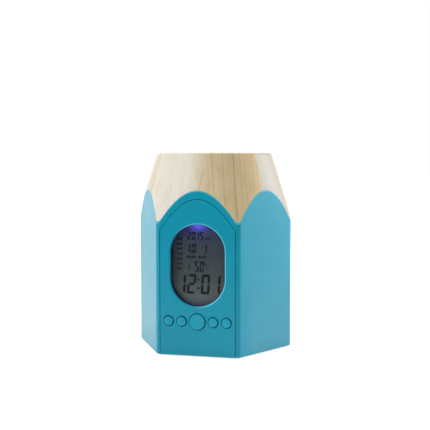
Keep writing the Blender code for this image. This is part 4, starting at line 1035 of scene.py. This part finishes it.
def printed_sleeve(name):
    """Cell jacket: a green film, pale gold at both ends."""
    look = Look(name, Specular_IOR_Level=0.5)
    green_half, pale_gold = 0.0170, (0.55, 0.50, 0.34)
    cloud = look.noise(300.0, 2.0)
    parts = look.node("ShaderNodeSeparateXYZ", {"Vector": look.place})
    band = look.calc("GREATER_THAN", look.calc("ABSOLUTE", parts.outputs[0]), green_half)
    green = look.ramp(cloud, [(0.3, (0.03, 0.15, 0.06)), (0.7, (0.04, 0.19, 0.08))])
    look.set("Base Color", look.mix(band, green, pale_gold))
    look.set("Roughness", look.ramp(cloud, [(0.3, 0.25), (0.7, 0.36)]))
    return look.material


def metal(name, tone, roughness):
    """Plated steel with a fine drawn grain."""
    look = Look(name, Metallic=1.0)
    drawn = look.noise(1.0, 3.0, vector=look.stretched(400.0, 400.0, 4000.0))
    darker = tuple(value * 0.82 for value in tone)
    look.set("Base Color", look.ramp(drawn, [(0.3, darker), (0.7, tone)]))
    look.set("Roughness", look.ramp(drawn, [(0.3, roughness + 0.1), (0.7, roughness)]))
    look.bump(drawn, 0.05, 0.00001)
    return look.material


def circuit_board(name):
    """Green solder mask with faint copper tracks under it."""
    look = Look(name, Specular_IOR_Level=0.5)
    tracks = look.node(
        "ShaderNodeTexVoronoi",
        {"Vector": look.place, "Scale": 420.0},
        distance="MANHATTAN",
        feature="DISTANCE_TO_EDGE",
    )
    line = look.ramp(tracks.outputs["Distance"], [(0.04, 1.0), (0.07, 0.0)])
    look.set("Base Color", look.mix(line, (0.008, 0.10, 0.03), (0.03, 0.22, 0.06)))
    look.set("Roughness", look.ramp(look.noise(300.0), [(0.3, 0.35), (0.7, 0.5)]))
    look.bump(line, 0.2, 0.00003)
    return look.material


def clear_window(name):
    """Clear plastic with a trace of haze, thin enough to be shown without refraction."""
    look = Look(name, Alpha=0.04)
    haze = look.noise(120.0, 3.0)
    look.set("Base Color", look.ramp(haze, [(0.3, (0.030, 0.035, 0.045)), (0.7, (0.050, 0.055, 0.065))]))
    look.set("Roughness", look.ramp(haze, [(0.4, 0.26), (0.8, 0.34)]))
    return look.material


def dress(obj, material):
    """Give a piece its material."""
    obj.data.materials.clear()
    obj.data.materials.append(material)
    return obj


def stand_in(piece, body, node, material):
    """A fine piece in place of a solid of the part."""
    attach(piece, body)
    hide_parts(node)
    return dress(piece, material)


def shell_pieces(dark):
    """The casing, the collar, the cup and the panel with its window, in place of their solids."""
    stand_in(make_casing(), "casing", "body_shell", highlighted_plastic("casing_blue", scallop_edge_highlight))
    stand_in(make_collar(), "casing", "wood_collar", wood("collar_wood"))
    cup_tones = (0.008, 0.22, 0.36), (0.010, 0.25, 0.40)
    cup_blue = plastic("cup_blue", cup_tones, (0.45, 0.6), (1800.0, 0.2))
    stand_in(make_cup(), "casing", "pen_cup", cup_blue)
    stand_in(make_panel(), "casing", "front_panel", highlighted_plastic("panel_blue", window_lip_highlight))
    stand_in(make_bezel(), "casing", "display_bezel", dark)
    # painted shade on the window's wall, navy for the lamp's violet light
    shade_liner_tones = (0.002, 0.024, 0.100), (0.003, 0.032, 0.130)
    shade_liner = plastic("shade_liner_plastic", shade_liner_tones, (0.50, 0.60), (2200.0, 0.1), 0.1)
    dress(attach(make_shade_liner(), "casing"), shade_liner)
    stand_in(make_lens(), "casing", "window_lens", clear_window("clear_lens"))


def button_pieces():
    """The five buttons, and the raised marks on four of them."""
    tones = (0.0014, 0.275, 0.390), (0.0020, 0.290, 0.410)
    button_blue = plastic("button_blue", tones, (0.29, 0.34), (2600.0, 0.06), 0.25)
    marks = {"left_outer": "ring", "left_inner": "minus", "right_inner": "down", "right_outer": "up"}
    for name, x, z, radius in button_rows():
        body = f"button_{name}"
        stand_in(make_button(name, x, z, radius), body, body, button_blue)
        if name in marks:
            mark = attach(make_mark(f"mark_{name}", x, z, marks[name]), body)
            dress(mark, button_blue)


def dress_solids(dark, rubber, steel):
    """A material for every solid, by its own name or by that of its kind."""
    base = plastic("base_grey", ((0.020, 0.021, 0.023), (0.030, 0.031, 0.034)), (0.5, 0.65), (1500.0, 0.35))
    milky = plastic("milky_plastic", ((0.70, 0.70, 0.76), (0.78, 0.78, 0.84)), (0.3, 0.4), (1500.0, 0.1))
    kinds = {
        "lcd_panel": display("display_glass"),
        "base_plate": base,
        "battery_door": base,
        "main_board": circuit_board("circuit_board"),
        "light_guide": milky,
        "backlight_led": milky,
        "thermistor": milky,
        "quartz_crystal": steel,
        "zebra_strip": rubber,
        "battery_cell": printed_sleeve("cell_jacket"),
        "battery_spring": steel,
        "contact_plate": steel,
        "board_screw": steel,
    }
    for node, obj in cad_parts.items():
        kind = node.rstrip("_0123456789")
        dress(obj, kinds.get(node, kinds.get(kind, dark)))


def make_pieces():
    """Fine pieces in place of what shows, and a material for every solid that stays."""
    dark_tones = (0.008, 0.022, 0.060), (0.012, 0.030, 0.080)
    dark = plastic("dark_plastic", dark_tones, (0.40, 0.55), (2200.0, 0.15))
    shell_pieces(dark)
    button_pieces()

    ink_tones = (0.003, 0.004, 0.008), (0.006, 0.007, 0.012)
    ink = plastic("display_ink", ink_tones, (0.4, 0.5), (3000.0, 0.05), 0.1)
    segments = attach(make_segments(), "casing")
    dress(segments, ink)

    rubber_tones = (0.018, 0.018, 0.018), (0.030, 0.030, 0.030)
    rubber = plastic("foot_rubber", rubber_tones, (0.75, 0.9), (1200.0, 0.4))
    steel = metal("plated_steel", (0.62, 0.62, 0.64), 0.28)
    for i in range(1, 5):
        stand_in(make_foot(f"foot_{i}"), "casing", f"foot_{i}", rubber)
        stand_in(make_base_screw(f"base_screw_{i}"), "casing", f"base_screw_{i}", steel)
    dress_solids(dark, rubber, steel)


def area_lamp(name, place, target, width, height, power):
    """A soft white lamp that points at a target and that the camera doesn't see."""
    lamp = bpy.data.lights.new(name, "AREA")
    lamp.shape = "RECTANGLE"
    lamp.size = width
    lamp.size_y = height
    lamp.energy = power
    made = bpy.data.objects.new(name, lamp)
    bpy.context.scene.collection.objects.link(made)
    made.location = place
    made.rotation_euler = (Vector(target) - Vector(place)).to_track_quat("-Z", "Y").to_euler()
    made.visible_camera = False


def make_world():
    """White to the camera; in glossy reflections the side that the clock faces is a darker room."""
    world = bpy.data.worlds.new("studio")
    bpy.context.scene.world = world
    world.use_nodes = True
    sky = Nodes(world.node_tree)
    path = sky.node("ShaderNodeLightPath").outputs
    direction = sky.node("ShaderNodeTexCoord").outputs["Generated"]
    parts = sky.node("ShaderNodeSeparateXYZ", {"Vector": direction})
    # the room is dark ahead of the clock and grows white towards a little behind it
    room = {"Value": parts.outputs["Y"], "From Min": -0.6, "From Max": 0.1, "To Min": 0.05}
    behind = sky.node("ShaderNodeMapRange", room, interpolation_type="SMOOTHSTEP")
    white = sky.calc("MAXIMUM", path["Is Camera Ray"], path["Is Transmission Ray"])
    mirrored = sky.calc("MULTIPLY", path["Is Glossy Ray"], behind.outputs[0])
    fill = 0.45
    soft = sky.calc("MULTIPLY", path["Is Diffuse Ray"], fill)
    background = world.node_tree.nodes["Background"]
    background.inputs["Color"].default_value = (1, 1, 1, 1)
    sky.feed(background.inputs["Strength"], sky.calc("MAXIMUM", sky.calc("MAXIMUM", white, mirrored), soft))


def make_surroundings():
    """Pale floor, white background and soft studio lamps."""
    front, back, half, under = -0.40, 6.0, 3.0, -0.001
    corners = [(-half, front), (half, front), (half, back), (-half, back)]
    floor = grid_solid("floor", [[(x, y, z) for x, y in corners] for z in (under, 0)], wrap=False)
    look = Look("floor_paper", Roughness=0.9, Specular_IOR_Level=0.1)
    look.set("Base Color", look.ramp(look.noise(3.0), [(0.4, 0.80), (0.6, 0.82)]))
    # how much white the floor adds of its own, where the camera sees it and in reflections
    added_white, mirrored_white = 0.70, 0.95
    path = look.node("ShaderNodeLightPath").outputs
    seen = look.calc("MAXIMUM", path["Is Camera Ray"], path["Is Transmission Ray"])
    mirrored = look.calc("MULTIPLY", path["Is Glossy Ray"], mirrored_white)
    look.shader.inputs["Emission Color"].default_value = (1, 1, 1, 1)
    look.set("Emission Strength", look.calc("MULTIPLY_ADD", seen, added_white, mirrored))
    floor.data.materials.append(look.material)

    make_world()
    middle = (0, 0, 0.06)
    # place, width, height and power in watts of each lamp
    area_lamp("key_left", (-0.72, -0.70, 0.60), middle, 0.6, 0.6, 6.8)
    area_lamp("back_right", (0.84, 0.56, 0.20), middle, 0.5, 0.9, 16.0)
    area_lamp("back_left", (-0.75, 0.80, 0.25), middle, 0.9, 0.6, 2.2)
    area_lamp("top", (0.0, 0.1, 1.1), middle, 0.9, 0.9, 6.0)


def make_camera():
    """The photograph's own camera, fitted to the hexagon's corners and edges."""
    data = bpy.data.cameras.new("camera")
    data.lens = 69.6
    data.sensor_width = 36.0
    data.clip_start = 0.01
    camera = bpy.data.objects.new("camera", data)
    bpy.context.scene.collection.objects.link(camera)
    camera.location = (0.1243, -0.5165, 0.1154)
    turn, pitch = math.radians(13.48), math.radians(3.55)
    camera.rotation_euler = (QUARTER_TURN - pitch, 0, turn)
    bpy.context.scene.camera = camera


make_pieces()
make_surroundings()
make_camera()
bpy.context.scene.view_settings.view_transform = "Standard"
